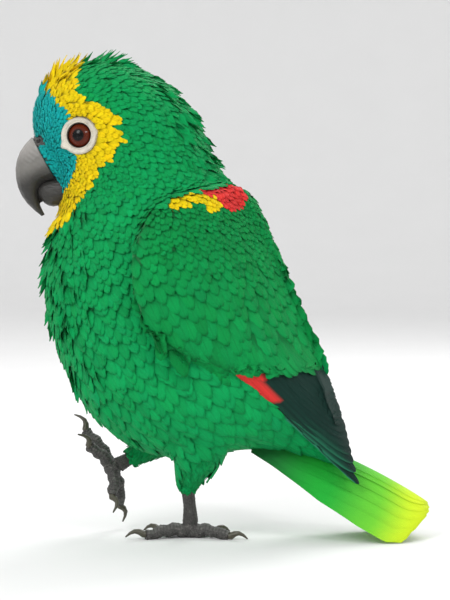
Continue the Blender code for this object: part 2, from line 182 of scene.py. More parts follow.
WING_RED = ((12, 108), (37, 106), (52, 84), (36, 84))

# Painted shade: a near-black colour for the skin under the bill, and for skin and feathers round
# the nostrils, where only shade shows in the bill's seams and the nostril pits.
BILL_AND_NOSTRIL_SHADE = (0.008, 0.006, 0.006)

# The skin's grid, how often it is smoothed, and how far its solids are grown first.
SKIN_VOXEL = 1.5
SKIN_SMOOTHING = 5
SKIN_GROWTH = 0.3
# A point of the skin belongs to the nearest solid within this distance.
REGION_REACH = 3.0
# The skin sinks by at most this share of the thickness below it.
DEEPEST_SHARE = 0.27
# Under the bill and the eyes it sinks by this depth, or this share of the thickness.
UNDERLAID_DEPTH = 3.0
UNDERLAID_SHARE = 0.42

# Lengths of the shortest and the longest feathers of each part of the coat.
HEAD_LENGTHS = (3.6, 9.0)
BODY_LENGTHS = (9.5, 19.0)
THIGH_LENGTHS = (6.0, 12.0)
WING_LENGTHS = (6.5, 24.0)
# Feathers lean together in clumps of about this size.
HEAD_CLUMP = 7.0
BODY_CLUMP = 11.0
CREST_LENGTH = 11.0
CREST_WIDTH = 4.4
# How far loose feathers stand up over the rest of the coat.
CREST_HEIGHT = 6.5
NAPE_HEIGHT = 3.8
BREAST_HEIGHT = 4.2
# How deep a feather's frayed edge is cut and how high its middle stands up, as
# shares of its width.
FRAY = 0.16
CAMBER = 0.085
# The grid that the unwrap is made from, and the side of a feather's place on it
# as a share of the whole.
UNWRAP_VOXEL = 5.0
PATCH = 0.003

# One nostril, which the other mirrors. No feathers grow within the bare distance
# of it, and skin and feathers carry painted shade within the shade reach.
NOSTRIL = Vector((-87.8, 8.6, 233.2)) * MM
NOSTRIL_BARE = 2.8
NOSTRIL_SHADE_REACH = 3.2
NOSTRIL_DEPTH = 2.4
NOSTRIL_WIDTH = 1.1
RIM_RADIUS = 2.1
RIM_HEIGHT = 0.5
# The cere is bare only round the nostrils, above this height.
CERE_BARE_ABOVE = 229.0

# The bare ring's outline round the eye's axis, and how far its corners jut out.
RING_OUTLINE = 10.5
CORNER_REACH = 2.0
CORNER_WIDTH = 0.17  # in radians
# Angles of the eye's two corners round its axis, from up towards the tail.
EYE_CORNERS = (math.radians(78), math.radians(238))
# Profile of the bare ring: distance from the eye's axis, and distance out
# from the eyeball's centre.
RING_PROFILE = (
    (10.1, 4.0),
    (10.8, 5.4),
    (10.9, 6.2),
    (10.5, 6.7),
    (9.9, 7.0),
    (9.2, 7.0),
    (8.7, 6.75),
    (8.35, 6.6),
    (8.0, 6.85),
    (7.6, 7.0),
    (7.2, 6.8),
    (6.95, 6.3),
    (7.02, 5.7),
    (7.6, 4.6),
)
RING_STEPS = 96
# Only the front of an eyeball is made, from this distance out from its centre.
EYEBALL_BACK = 3.4
CORNEA_RADIUS = 6.2
CORNEA_BULGE = 0.3

GREAT_COVERTS = 17
GREAT_COVERT_LENGTH = 27.0
GREAT_COVERT_WIDTH = 10.0
FLIGHT_COUNT = 13
# The flight feathers' roots and tips stand in rows from the first of these spots
# of the XZ plane to the second, and their widths go with them.
FLIGHT_ROOTS = (Vector((17.0, 110.0)) * MM, Vector((76.0, 107.0)) * MM)
FLIGHT_TIPS = (Vector((98.0, 34.5)) * MM, Vector((84.5, 88.0)) * MM)
FLIGHT_WIDTHS = (14.0, 13.0)
# How far the front edge of a long feather stands up, and its back edge lies low.
BLADE_TILT = 0.5
# How far a feather's edge runs out past the solid wing, of the way it would.
BLADE_OVERHANG = 0.2

TAIL_PAIRS = 6
TAIL_FEATHER_WIDTH = 17.0
# The tail's ridge bends from the rump to the floor, its sides slope like a roof.
TAIL_RIDGE = tuple(Vector(stop) * MM for stop in ((38, 0, 62), (88, 0, 50), (142, 0, 17.5)))
TailSection = namedtuple("TailSection", "along half_width drop thickness")
TAIL_SECTIONS = (
    TailSection(0.0, 12.0, 10.0, 9.0),
    TailSection(0.22, 18.0, 17.0, 8.0),
    TailSection(0.45, 22.0, 24.0, 7.0),
    TailSection(0.7, 24.0, 28.0, 6.0),
    TailSection(0.86, 23.5, 28.6, 5.0),
    TailSection(0.95, 21.5, 23.5, 4.0),
    TailSection(1.0, 17.0, 18.0, 2.5),
)

# Each foot's middle and the way that its back faces.
FOOT_HUBS = {LEFT: Vector((0, 0, 5.1)) * MM, RIGHT: Vector((-47, 20.5, 38.6)) * MM}
FOOT_BACKS = {LEFT: Vector((0, 0, 1)), RIGHT: Vector((0.91, 0, 0.42)).normalized()}
# Lengths of a toe's plates and pads.
PLATE_LENGTH = 1.9
PAD_LENGTH = 7.0

# Sizes and places of the stage are in metres, and powers in watts.
STAGE_RADIUS = 3.2
STAGE_WALL = 1.6
STAGE_CURVE = 0.9
STAGE_STEPS = 72
LIGHTS = (
    ("key", (-0.9, -1.3, 1.3), 0.9, 17.0),
    ("fill", (0.75, -1.05, 1.0), 0.3, 5.0),
    ("back", (0.5, 0.9, 1.1), 0.8, 9.0),
)
ROOM_LIGHT = 0.95
SENSOR_WIDTH = 36.0


def srgb(red, green, blue):
    """Linear colour of an 8-bit screen colour."""

    def linear(level):
        share = level / 255
        if share <= 0.04045:
            return share / 12.92
        return ((share + 0.055) / 1.055) ** 2.4

    return (linear(red), linear(green), linear(blue))


def smooth_step(low, high, value):
    share = min(max((value - low) / (high - low), 0.0), 1.0)
    return share * share * (3 - 2 * share)


def blended(low, high, share):
    return low + (high - low) * share


def colour_setting(name, description, default):
    return FloatVectorProperty(
        name=name,
        description=description,
        default=default,
        size=3,
        min=0.0,
        max=1.0,
        subtype="COLOR",
    )


def length_setting(name, description, default):
    return FloatProperty(
        name=name, description=description, default=default * MM, min=0.0, unit="LENGTH"
    )


def share_setting(name, description, default):
    return FloatProperty(
        name=name, description=description, default=default, min=0.0, subtype="FACTOR"
    )


class PlumageSettings(bpy.types.PropertyGroup):
    """Colours and sizes of the feathers."""

    turquoise: colour_setting("Turquoise", "Forehead and lores", srgb(9, 175, 171))
    yellow: colour_setting("Yellow", "Crown and cheeks", srgb(240, 208, 8))
    green: colour_setting("Green", "Body", srgb(3, 150, 79))
    wing_green: colour_setting("Wing green", "Wing coverts", srgb(1, 137, 66))
    red: colour_setting("Red", "Shoulder and wing patch", srgb(222, 55, 52))
    flight_dark: colour_setting("Flight dark", "Flight feathers", srgb(14, 47, 40))
    flight_edge: colour_setting("Flight edge", "Edge of a flight feather", srgb(41, 131, 96))
    # The tail root's darker green is painted shade under the rump and wings.
    tail_root: colour_setting("Tail root", "Tail near the rump", srgb(30, 107, 53))
    tail_middle: colour_setting("Tail middle", "Middle of the tail", srgb(31, 165, 52))
    tail_end: colour_setting("Tail end", "Last third of the tail", srgb(108, 198, 51))
    tail_tip: colour_setting("Tail tip", "Tips of the tail feathers", srgb(212, 234, 38))
    face_depth: length_setting("Face depth", "Depth of the coat on the face", 1.3)
    body_depth: length_setting("Body depth", "Depth of the coat on the body", 2.7)
    spacing: share_setting("Spacing", "Root to root, as a share of a feather's length", 0.26)
    seed: IntProperty(name="Seed", description="Start of the random draws", default=7)


class BareSettings(bpy.types.PropertyGroup):
    """Colours of the bill, the skin that shows, the eyes and the feet."""

    bill_root: colour_setting("Bill root", "Upper bill near the face", srgb(152, 148, 144))
    bill_middle: colour_setting("Bill middle", "Middle of the upper bill", srgb(110, 108, 104))
    bill_tip: colour_setting("Bill tip", "Tip of the upper bill", srgb(48, 47, 45))
    lower_bill: colour_setting("Lower bill", "Lower bill", srgb(44, 43, 41))
    cere: colour_setting("Cere", "Skin over the bill", srgb(84, 82, 80))
    eye_ring: colour_setting("Eye ring", "Bare skin round the eye", srgb(200, 194, 180))
    iris: colour_setting("Iris", "Iris", srgb(78, 26, 10))
    foot: colour_setting("Foot", "Scales of the feet", srgb(78, 77, 75))
    claw: colour_setting("Claw", "Horn of the claws", srgb(72, 70, 58))


class StageSettings(bpy.types.PropertyGroup):
    """Floor, light and camera."""

    floor: colour_setting("Floor", "Floor and backdrop", srgb(230, 230, 230))
    lens: FloatProperty(
        name="Lens", description="Focal length in millimetres", default=120.0, min=1.0
    )
    view_height: length_setting("View height", "Height that the picture takes in", 352.0)
    elevation: FloatProperty(
        name="Elevation",
        description="Angle of the camera above the horizon",
        default=math.radians(3.0),
        subtype="ANGLE",
        unit="ROTATION",
    )


# ---------------------------------------------------------------- materials


class Wiring:
    """Short ways to place nodes in one tree and to link them."""

    def __init__(self, tree):
        self.tree = tree

    def place(self, kind, **settings):
        node = self.tree.nodes.new(kind)
        for name, value in settings.items():
            setattr(node, name, value)
        return node

    def feed(self, socket, value):
        if isinstance(value, bpy.types.NodeSocket):
            self.tree.links.new(value, socket)
        elif value is not None:
            socket.default_value = value

    def math(self, operation, first, second=None, third=None, clamp=False):
        node = self.place("ShaderNodeMath", operation=operation, use_clamp=clamp)
        for socket, value in zip(node.inputs, (first, second, third)):
            self.feed(socket, value)
        return node.outputs[0]

    def step(self, value, low, high):
        """0 below low and 1 above high, smooth between, either way round."""
        node = self.place("ShaderNodeMapRange", interpolation_type="SMOOTHSTEP")
        self.feed(node.inputs["Value"], value)
        turned = low > high
        self.feed(node.inputs["From Min"], high if turned else low)
        self.feed(node.inputs["From Max"], low if turned else high)
        self.feed(node.inputs["To Min"], 1.0 if turned else 0.0)
        self.feed(node.inputs["To Max"], 0.0 if turned else 1.0)
        return node.outputs["Result"]

    def mix(self, share, first, second, kind="MIX"):
        node = self.place("ShaderNodeMix", data_type="RGBA", blend_type=kind)
        self.feed(node.inputs["Factor"], share)
        self.feed(node.inputs[6], opaque(first))
        self.feed(node.inputs[7], opaque(second))
        return node.outputs[2]

    def scale(self, vector, factor):
        node = self.place("ShaderNodeVectorMath", operation="MULTIPLY")
        self.feed(node.inputs[0], vector)
        self.feed(node.inputs[1], factor)
        return node.outputs[0]

    def split(self, vector):
        node = self.place("ShaderNodeSeparateXYZ")
        self.feed(node.inputs[0], vector)
        return node.outputs

    def noise(self, vector, scale, detail=3.0, roughness=0.5):
        node = self.place("ShaderNodeTexNoise")
        self.feed(node.inputs["Vector"], vector)
        self.feed(node.inputs["Scale"], scale)
        self.feed(node.inputs["Detail"], detail)
        self.feed(node.inputs["Roughness"], roughness)
        return node.outputs["Fac"]

    def cells(self, vector, scale):
        """How far a place is from the edge of its cell."""
        node = self.place("ShaderNodeTexVoronoi", feature="DISTANCE_TO_EDGE")
        self.feed(node.inputs["Vector"], vector)
        self.feed(node.inputs["Scale"], scale)
        return node.outputs["Distance"]

    def wave(self, value):
        """A smooth wave from 0 to 1, once for each whole step of a value."""
        sine = self.math("SINE", self.math("MULTIPLY", value, 2 * math.pi))
        return self.math("MULTIPLY_ADD", sine, 0.5, 0.5)

    def place_of(self):
        return self.place("ShaderNodeTexCoord").outputs["Object"]

    def attribute(self, name):
        return self.place("ShaderNodeAttribute", attribute_name=name).outputs

    def group(self, tree, **values):
        node = self.place("ShaderNodeGroup", node_tree=tree)
        for name, value in values.items():
            self.feed(node.inputs[name.replace("_", " ")], value)
        return node.outputs


def opaque(colour):
    """A colour with its fourth value, as sockets take it."""
    if isinstance(colour, bpy.types.NodeSocket) or len(colour) == 4:
        return colour
    return (*colour, 1.0)


def shaded(colour, level):
    """A colour made darker, or lighter with a level over 1."""
    return tuple(value * level for value in colour)


def built_once(name):
    """Lets a function build the node group of this name only the first time."""

    def wrap(build):
        return lambda: bpy.data.node_groups.get(name) or build(name)

    return wrap


def new_group(name, *inputs):
    """The wiring, inputs and outputs of a group that gives a colour and a height."""
    tree = bpy.data.node_groups.new(name, "ShaderNodeTree")
    for label, kind, *default in inputs:
        socket = tree.interface.new_socket(
            label, in_out="INPUT", socket_type="NodeSocket" + kind
        )
        if default:
            socket.default_value = default[0]
    for label, kind in (("Colour", "NodeSocketColor"), ("Height", "NodeSocketFloat")):
        tree.interface.new_socket(label, in_out="OUTPUT", socket_type=kind)
    wiring = Wiring(tree)
    taken = wiring.place("NodeGroupInput").outputs
    given = wiring.place("NodeGroupOutput").inputs
    return wiring, taken, given


@built_once("Feather vane")
def vane_group(name):
    """Barbs, shaft and dark fringe of one feather, with painted shade in the grooves between barbs
    and at the root over its darker down.
    """
    wiring, taken, given = new_group(
        name,
        ("Vane", "Vector"),
        ("Tint", "Color"),
        ("Fringe", "Float", 0.3),
        ("Barbs", "Float", 30.0),
        ("Root shade", "Float", 0.5),
    )
    sides = wiring.split(taken["Vane"])
    across = wiring.math("SUBTRACT", sides[0], 0.5)
    across = wiring.math("ABSOLUTE", across)
    across = wiring.math("MULTIPLY", across, 2.0)
    along = sides[1]
    # Barbs leave the shaft at a slant towards the tip.
    slant = wiring.math("MULTIPLY", across, 0.35)
    barb = wiring.math("SUBTRACT", along, slant)
    ragged = wiring.noise(wiring.scale(taken["Vane"], (3.0, 9.0, 1.0)), 3.0)
    barb = wiring.math("ADD", barb, wiring.math("MULTIPLY", ragged, 0.06))
    barb = wiring.math("MULTIPLY", barb, taken["Barbs"])
    wave = wiring.wave(barb)
    shaft = wiring.step(across, 0.1, 0.0)
    side_fringe = wiring.step(across, 0.72, 1.0)
    side_fringe = wiring.math("MULTIPLY", side_fringe, wiring.step(along, 0.35, 0.8))
    tip_fringe = wiring.step(along, 0.86, 1.0)
    fringe = wiring.math("MAXIMUM", side_fringe, tip_fringe)
    fringe = wiring.math("MULTIPLY", fringe, taken["Fringe"])
    # Painted shade at the root, where the feathers before it lie over it, together with the root's
    # darker down.
    shade = wiring.step(along, 0.65, 0.05)
    shade = wiring.math("MULTIPLY", shade, taken["Root shade"])
    # Painted shade in the grooves between the barbs.
    groove = wiring.math("MULTIPLY", wiring.math("SUBTRACT", 1.0, wave), 0.16)
    darker = wiring.mix(1.0, taken["Tint"], (0.28, 0.3, 0.3), "MULTIPLY")
    colour = wiring.mix(groove, taken["Tint"], darker)
    colour = wiring.mix(shade, colour, darker)
    colour = wiring.mix(fringe, colour, darker)
    colour = wiring.mix(wiring.math("MULTIPLY", shaft, 0.22), colour, darker)
    wiring.feed(given["Colour"], colour)
    height = wiring.math("MULTIPLY_ADD", shaft, 1.2, wave)
    wiring.feed(given["Height"], height)
    return wiring.tree


@built_once("Small scales")
def scale_group(name):
    """Small scales with painted shade in the grooves between them, worn pale in places."""
    wiring, taken, given = new_group(
        name,
        ("Place", "Vector"),
        ("Tint", "Color"),
        ("Scale", "Float", 900.0),
        ("Dryness", "Float", 0.5),
        ("Plates", "Float", 0.0),
        ("Grooves", "Float", 0.0),
    )
    edge = wiring.cells(taken["Place"], taken["Scale"])
    plate = wiring.math("MAXIMUM", wiring.step(edge, 0.0, 0.22), taken["Plates"])
    plate = wiring.math("SUBTRACT", plate, taken["Grooves"], clamp=True)
    worn = wiring.noise(taken["Place"], 260.0, 4.0, 0.6)
    pale = wiring.mix(0.35, taken["Tint"], (0.6, 0.57, 0.52))
    # Painted shade darkens the grooves between scales and between broad plates.
    dark = wiring.mix(1.0, taken["Tint"], (0.35, 0.34, 0.34), "MULTIPLY")
    colour = wiring.mix(plate, dark, taken["Tint"])
    rubbed = wiring.math("MULTIPLY", wiring.step(worn, 0.5, 0.72), taken["Dryness"])
    colour = wiring.mix(wiring.math("MULTIPLY", rubbed, plate), colour, pale)
    wiring.feed(given["Colour"], colour)
    wiring.feed(given["Height"], wiring.math("MULTIPLY_ADD", worn, 0.25, plate))
    return wiring.tree


@built_once("Horn layers")
def horn_group(name):
    """Growth layers and scuffed streaks of horn."""
    wiring, taken, given = new_group(
        name, ("Place", "Vector"), ("Tint", "Color"), ("Layers", "Float", 300.0)
    )
    far = wiring.place("ShaderNodeVectorMath", operation="DISTANCE")
    wiring.feed(far.inputs[0], taken["Place"])
    wiring.feed(far.inputs[1], tuple(GROWTH_CENTRE))
    bend = wiring.noise(taken["Place"], 120.0, 3.0, 0.55)
    bend = wiring.math("MULTIPLY", bend, 0.004)
    ring = wiring.math("ADD", far.outputs["Value"], bend)
    ring = wiring.math("MULTIPLY", ring, taken["Layers"])
    wave = wiring.wave(ring)
    streak = wiring.noise(wiring.scale(taken["Place"], (1.0, 4.0, 1.0)), 420.0, 5.0, 0.6)
    dark = wiring.mix(1.0, taken["Tint"], (0.6, 0.59, 0.58), "MULTIPLY")
    pale = wiring.mix(0.18, taken["Tint"], (0.75, 0.72, 0.68))
    colour = wiring.mix(wiring.math("MULTIPLY", wave, 0.12), taken["Tint"], dark)
    scuffed = wiring.math("MULTIPLY", wiring.step(streak, 0.45, 0.8), 0.14)
    colour = wiring.mix(scuffed, colour, pale)
    wiring.feed(given["Colour"], colour)
    wiring.feed(given["Height"], wiring.math("MULTIPLY_ADD", streak, 0.5, wave))
    return wiring.tree


def new_material(name, roughness, **constants):
    """A material with its wiring and its Principled shader."""
    material = bpy.data.materials.new(name)
    material.use_nodes = True
    wiring = Wiring(material.node_tree)
    shader = material.node_tree.nodes["Principled BSDF"]
    shader.inputs["Roughness"].default_value = roughness
    for label, value in constants.items():
        shader.inputs[label.replace("_", " ")].default_value = value
    return material, wiring, shader.inputs


def add_bump(wiring, sockets, height, depth, strength=1.0):
    bump = wiring.place("ShaderNodeBump")
    wiring.feed(bump.inputs["Strength"], strength)
    wiring.feed(bump.inputs["Distance"], depth * MM)
    wiring.feed(bump.inputs["Height"], height)
    wiring.feed(sockets["Normal"], bump.outputs["Normal"])


def feather_material(name, roughness, barbs, root_shade, relief):
    """Feathers that carry their tint and the strength of their fringe."""
    if name in bpy.data.materials:
        return bpy.data.materials[name]
    material, wiring, sockets = new_material(
        name, roughness, Sheen_Weight=0.02, Sheen_Roughness=0.5, Specular_IOR_Level=0.1
    )
    tint = wiring.attribute("Tint")
    vane = wiring.place("ShaderNodeUVMap", uv_map="Vane")
    marks = wiring.group(
        vane_group(),
        Vane=vane.outputs["UV"],
        Tint=tint["Color"],
        Fringe=tint["Alpha"],
        Barbs=barbs,
        Root_shade=root_shade,
    )
    wiring.feed(sockets["Base Color"], marks["Colour"])
    add_bump(wiring, sockets, marks["Height"], relief, 0.6)
    return material


def skin_material():
    """Downy skin under the coat, in the coat's own markings."""
    material, wiring, sockets = new_material("skin_down", 0.8, Sheen_Weight=0.1)
    tint = wiring.attribute("Tint")["Color"]
    down = wiring.noise(wiring.place_of(), 900.0, 4.0, 0.6)
    dark = wiring.mix(1.0, tint, (0.3, 0.3, 0.3), "MULTIPLY")
    wiring.feed(sockets["Base Color"], wiring.mix(down, dark, tint))
    add_bump(wiring, sockets, down, 0.4)
    return material


def horn_material(name, roughness, colour_of, layers, relief):
    """Horn whose tint colour_of works out from a place."""
    material, wiring, sockets = new_material(name, roughness, Specular_IOR_Level=0.32)
    place = wiring.place_of()
    marks = wiring.group(
        horn_group(), Place=place, Tint=colour_of(wiring, place), Layers=layers
    )
    wiring.feed(sockets["Base Color"], marks["Colour"])
    rough = wiring.noise(place, 500.0, 3.0, 0.6)
    rough = wiring.math("MULTIPLY_ADD", rough, 0.22, roughness - 0.08)
    wiring.feed(sockets["Roughness"], rough)
    add_bump(wiring, sockets, marks["Height"], relief)
    return material


def scale_material(name, colour, scale, dryness, relief):
    """Scaly skin with painted shade in its grooves, and the broad plates that a piece's own points
    may carry.
    """
    material, wiring, sockets = new_material(name, 0.6, Specular_IOR_Level=0.35)
    place = wiring.place_of()
    marks = wiring.group(
        scale_group(),
        Place=place,
        Tint=opaque(colour),
        Scale=scale,
        Dryness=dryness,
        Plates=wiring.attribute("Plates")["Fac"],
        Grooves=wiring.attribute("Grooves")["Fac"],
    )
    wiring.feed(sockets["Base Color"], marks["Colour"])
    add_bump(wiring, sockets, marks["Height"], relief)
    return material


# ------------------------------------------------------- pieces from the solids


def new_object(name, data):
    """A new object in the scene."""
    made = bpy.data.objects.new(name, data)
    bpy.context.scene.collection.objects.link(made)
    return made


def mesh_of(whole, name="made"):
    """A new mesh from a bmesh, which is freed."""
    mesh = bpy.data.meshes.new(name)
    whole.to_mesh(mesh)
    whole.free()
    return mesh


@contextmanager
def reshaping(mesh):
    """A bmesh of a mesh, which goes back into the mesh at the end."""
    whole = bmesh.new()
    whole.from_mesh(mesh)
    yield whole
    whole.to_mesh(mesh)
    whole.free()


def joined_nodes(names, grow=0.0):
    """One bmesh of CAD nodes, each closed and grown outwards a little."""
    whole = bmesh.new()
    for name in names:
        part = bmesh.new()
        part.from_mesh(NODES[name].data)
        bmesh.ops.remove_doubles(part, verts=part.verts, dist=0.01 * MM)
        part.normal_update()
        for vertex in part.verts:
            vertex.co += vertex.normal * grow * MM
        mesh = mesh_of(part)
        whole.from_mesh(mesh)
        bpy.data.meshes.remove(mesh)
    return whole


def keep_largest_shell(mesh):
    """Deletes every shell but the one with most points."""
    with reshaping(mesh) as whole:
        unseen = set(whole.verts)
        shells = []
        while unseen:
            shell = [unseen.pop()]
            for vertex in shell:
                for edge in vertex.link_edges:
                    other = edge.other_vert(vertex)
                    if other in unseen:
                        unseen.remove(other)
                        shell.append(other)
            shells.append(shell)
        shells.sort(key=len)
        for shell in shells[:-1]:
            bmesh.ops.delete(whole, geom=shell, context="VERTS")


def even_mesh(source, voxel, smoothing=0):
    """A mesh of even faces round another mesh, which is removed."""
    helper = new_object("helper", source)
    even = helper.modifiers.new("Even", "REMESH")
    even.mode = "VOXEL"
    even.voxel_size = voxel * MM
    if smoothing:
        soft = helper.modifiers.new("Soft", "SMOOTH")
        soft.factor = 0.5
        soft.iterations = smoothing
    graph = bpy.context.evaluated_depsgraph_get()
    made = bpy.data.meshes.new_from_object(helper.evaluated_get(graph))
    bpy.data.objects.remove(helper)
    bpy.data.meshes.remove(source)
    return made


def remeshed(names, voxel, smoothing, grow=0.0):
    """One smooth even mesh round CAD nodes."""
    made = even_mesh(mesh_of(joined_nodes(names, grow)), voxel, smoothing)
    keep_largest_shell(made)
    return made


def vectors_of(items, field):
    found = np.empty(len(items) * 3, np.float32)
    items.foreach_get(field, found)
    return found.reshape(-1, 3).astype(float)


def points_of(mesh):
    return vectors_of(mesh.vertices, "co")


def normals_of(mesh):
    return vectors_of(mesh.vertex_normals, "vector")


def set_points(mesh, points):
    mesh.vertices.foreach_set("co", points.astype(np.float32).ravel())
    mesh.update()


def set_tints(mesh, tints):
    layer = mesh.color_attributes.new(name="Tint", type="FLOAT_COLOR", domain="POINT")
    layer.data.foreach_set("color", np.asarray(tints, np.float32).ravel())


def tree_of(mesh):
    return BVHTree.FromPolygons(
        [vertex.co for vertex in mesh.vertices],
        [tuple(polygon.vertices) for polygon in mesh.polygons],
    )


def node_tree(name):
    return tree_of(NODES[name].data)


def add_piece(name, mesh, material, replaced=()):
    """A finished piece: shaded smooth, riding on the bird's one body."""
    mesh.materials.clear()
    mesh.materials.append(material)
    mesh.shade_smooth()
    mesh.name = name
    piece = new_object(name, mesh)
    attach(piece, "root")
    if replaced:
        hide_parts(*replaced)


# -------------------------------------------------------------------- markings


def inside(outline, x, z):
    """True if a point lies inside a closed outline."""
    found = False
    for index, (x1, z1) in enumerate(outline):
        x2, z2 = outline[index - 1]
        if (z1 > z) != (z2 > z) and x < (x2 - x1) * (z - z1) / (z2 - z1) + x1:
            found = not found
    return found


def marking(point, region):
    """(tint, strength of the dark fringe) of the plumage at a place."""
    plumage = bpy.context.scene.parrot_plumage
    x = point[0] / MM
    z = point[2] / MM
    if region in WINGS:
        if inside(SHOULDER_RED, x, z):
            return plumage.red, 0.15
        if inside(SHOULDER_YELLOW, x, z):
            return plumage.yellow, 0.1
        return plumage.wing_green, 0.36
    # Painted shade, near-black, under the bill and round the nostrils.
    if region in BILL_PARTS or nostril_distance(point) < NOSTRIL_SHADE_REACH:
        return BILL_AND_NOSTRIL_SHADE, 0.0
    if region != TRUNK and region not in THIGHS:
        if inside(TURQUOISE_PATCH, x, z):
            return plumage.turquoise, 0.22
        if inside(YELLOW_PATCH, x, z):
            return plumage.yellow, 0.12
    return plumage.green, 0.3


# ------------------------------------------------------------------------ skin


def coat_depth(point):
    """How far the skin lies below the coat's outer surface."""
    plumage = bpy.context.scene.parrot_plumage
    far = (Vector(point) - BILL_ROOT).length / MM
    return blended(plumage.face_depth, plumage.body_depth, smooth_step(35, 90, far))


def skin_regions(points):
    """The CAD node that each point of the skin belongs to."""
    trees = [node_tree(name) for name in CORE]
    found = []
    for point in points:
        place = Vector(point)
        best = REGION_REACH * MM
        region = TRUNK
        for index, tree in enumerate(trees):
            distance = tree.find_nearest(place, best)[3]
            if distance is not None and distance < best:
                best = distance
                region = index
        found.append(region)
    return found


def inset(mesh, regions):
    """Moves a mesh inwards by the coat's depth, less where it is thin."""
    points = points_of(mesh)
    normals = normals_of(mesh)
    tree = tree_of(mesh)
    depths = []
    for point, normal, region in zip(points, normals, regions):
        inward = Vector(-normal)
        start = Vector(point) + inward * 0.05 * MM
        distance = tree.ray_cast(start, inward, 40 * MM)[3]
        depth = coat_depth(point)
        share = DEEPEST_SHARE
        if region in BILL_PARTS + EYE_PARTS:
            depth = UNDERLAID_DEPTH * MM
            share = UNDERLAID_SHARE
        if distance is not None:
            depth = min(depth, share * distance)
        depths.append(depth)
    set_points(mesh, points - normals * np.array(depths)[:, None])
    axes = {"use_axis_x": True, "use_axis_y": True, "use_axis_z": True}
    with reshaping(mesh) as whole:
        for _ in range(3):
            bmesh.ops.smooth_vert(whole, verts=whole.verts, factor=0.5, **axes)


def make_skin():
    """The one skin, its regions and its markings."""
    mesh = remeshed(CORE, SKIN_VOXEL, SKIN_SMOOTHING, SKIN_GROWTH)
    outer = points_of(mesh)
    regions = skin_regions(outer)
    inset(mesh, regions)
    layer = mesh.attributes.new("Region", "INT", "POINT")
    layer.data.foreach_set("value", regions)
    tints = []
    for point, region in zip(outer, regions):
        tint, _ = marking(point, region)
        tints.append((*tint, 1.0))
    set_tints(mesh, tints)
    add_piece("skin", mesh, skin_material(), FLESH)


class Ground:
    """The skin as the ground that feathers lie on."""

    def __init__(self):
        mesh = bpy.data.objects["skin"].data
        self.points = points_of(mesh)
        self.normals = normals_of(mesh)
        self.regions = np.empty(len(mesh.vertices), np.int32)
        mesh.attributes["Region"].data.foreach_get("value", self.regions)
        mesh.calc_loop_triangles()
        corners = np.empty(len(mesh.loop_triangles) * 3, np.int32)
        mesh.loop_triangles.foreach_get("vertices", corners)
        self.triangles = corners.reshape(-1, 3)
        self.tree = BVHTree.FromPolygons(
            self.points.tolist(), self.triangles.tolist(), all_triangles=True
        )
        facing = self.normals[self.triangles].sum(axis=1)
        facing /= np.linalg.norm(facing, axis=1, keepdims=True)
        self.facing = [Vector(normal) for normal in facing]

    def drop(self, point):
        place, _, face, _ = self.tree.find_nearest(point)
        return place, self.facing[face]


class Unwrap:
    """An unwrap of the skin's own shape, which gives each feather its place on the OFBake map."""

    def __init__(self):
        mesh = even_mesh(bpy.data.objects["skin"].data.copy(), UNWRAP_VOXEL)
        with reshaping(mesh) as whole:
            bmesh.ops.triangulate(whole, faces=whole.faces)
        helper = new_object("helper", mesh)
        bpy.context.view_layer.objects.active = helper
        helper.select_set(True)
        bpy.ops.object.mode_set(mode="EDIT")
        bpy.ops.mesh.select_all(action="SELECT")
        bpy.ops.uv.smart_project(angle_limit=math.radians(66), island_margin=0.01)
        bpy.ops.object.mode_set(mode="OBJECT")
        spread = np.empty(len(mesh.loops) * 2, np.float32)
        mesh.uv_layers.active.data.foreach_get("uv", spread)
        self.spread = spread.reshape(-1, 3, 2)
        self.corners = [
            [mesh.vertices[index].co.copy() for index in polygon.vertices]
            for polygon in mesh.polygons
        ]
        self.tree = tree_of(mesh)
        bpy.data.objects.remove(helper)
        bpy.data.meshes.remove(mesh)

    def place(self, point):
        """Where a point of the skin lies on the unwrap."""
        near, _, face, _ = self.tree.find_nearest(point)
        a, b, c = self.corners[face]
        whole = (b - a).cross(c - a).length
        shares = (
            (b - near).cross(c - near).length / whole,
            (c - near).cross(a - near).length / whole,
            (a - near).cross(b - near).length / whole,
        )
        total = sum(shares)
        return sum(corner * share / total for corner, share in zip(self.spread[face], shares))


# -------------------------------------------------------------------- feathers


# One feather of the coat. Lift is how much more than the coat's depth its tip
# stands out, taper is 0 for a round tip and 1 for a pointed one, turn swings it
# on the skin and roll twists its free end about its shaft.
Feather = namedtuple("Feather", "root region length width depth lift taper turn roll")


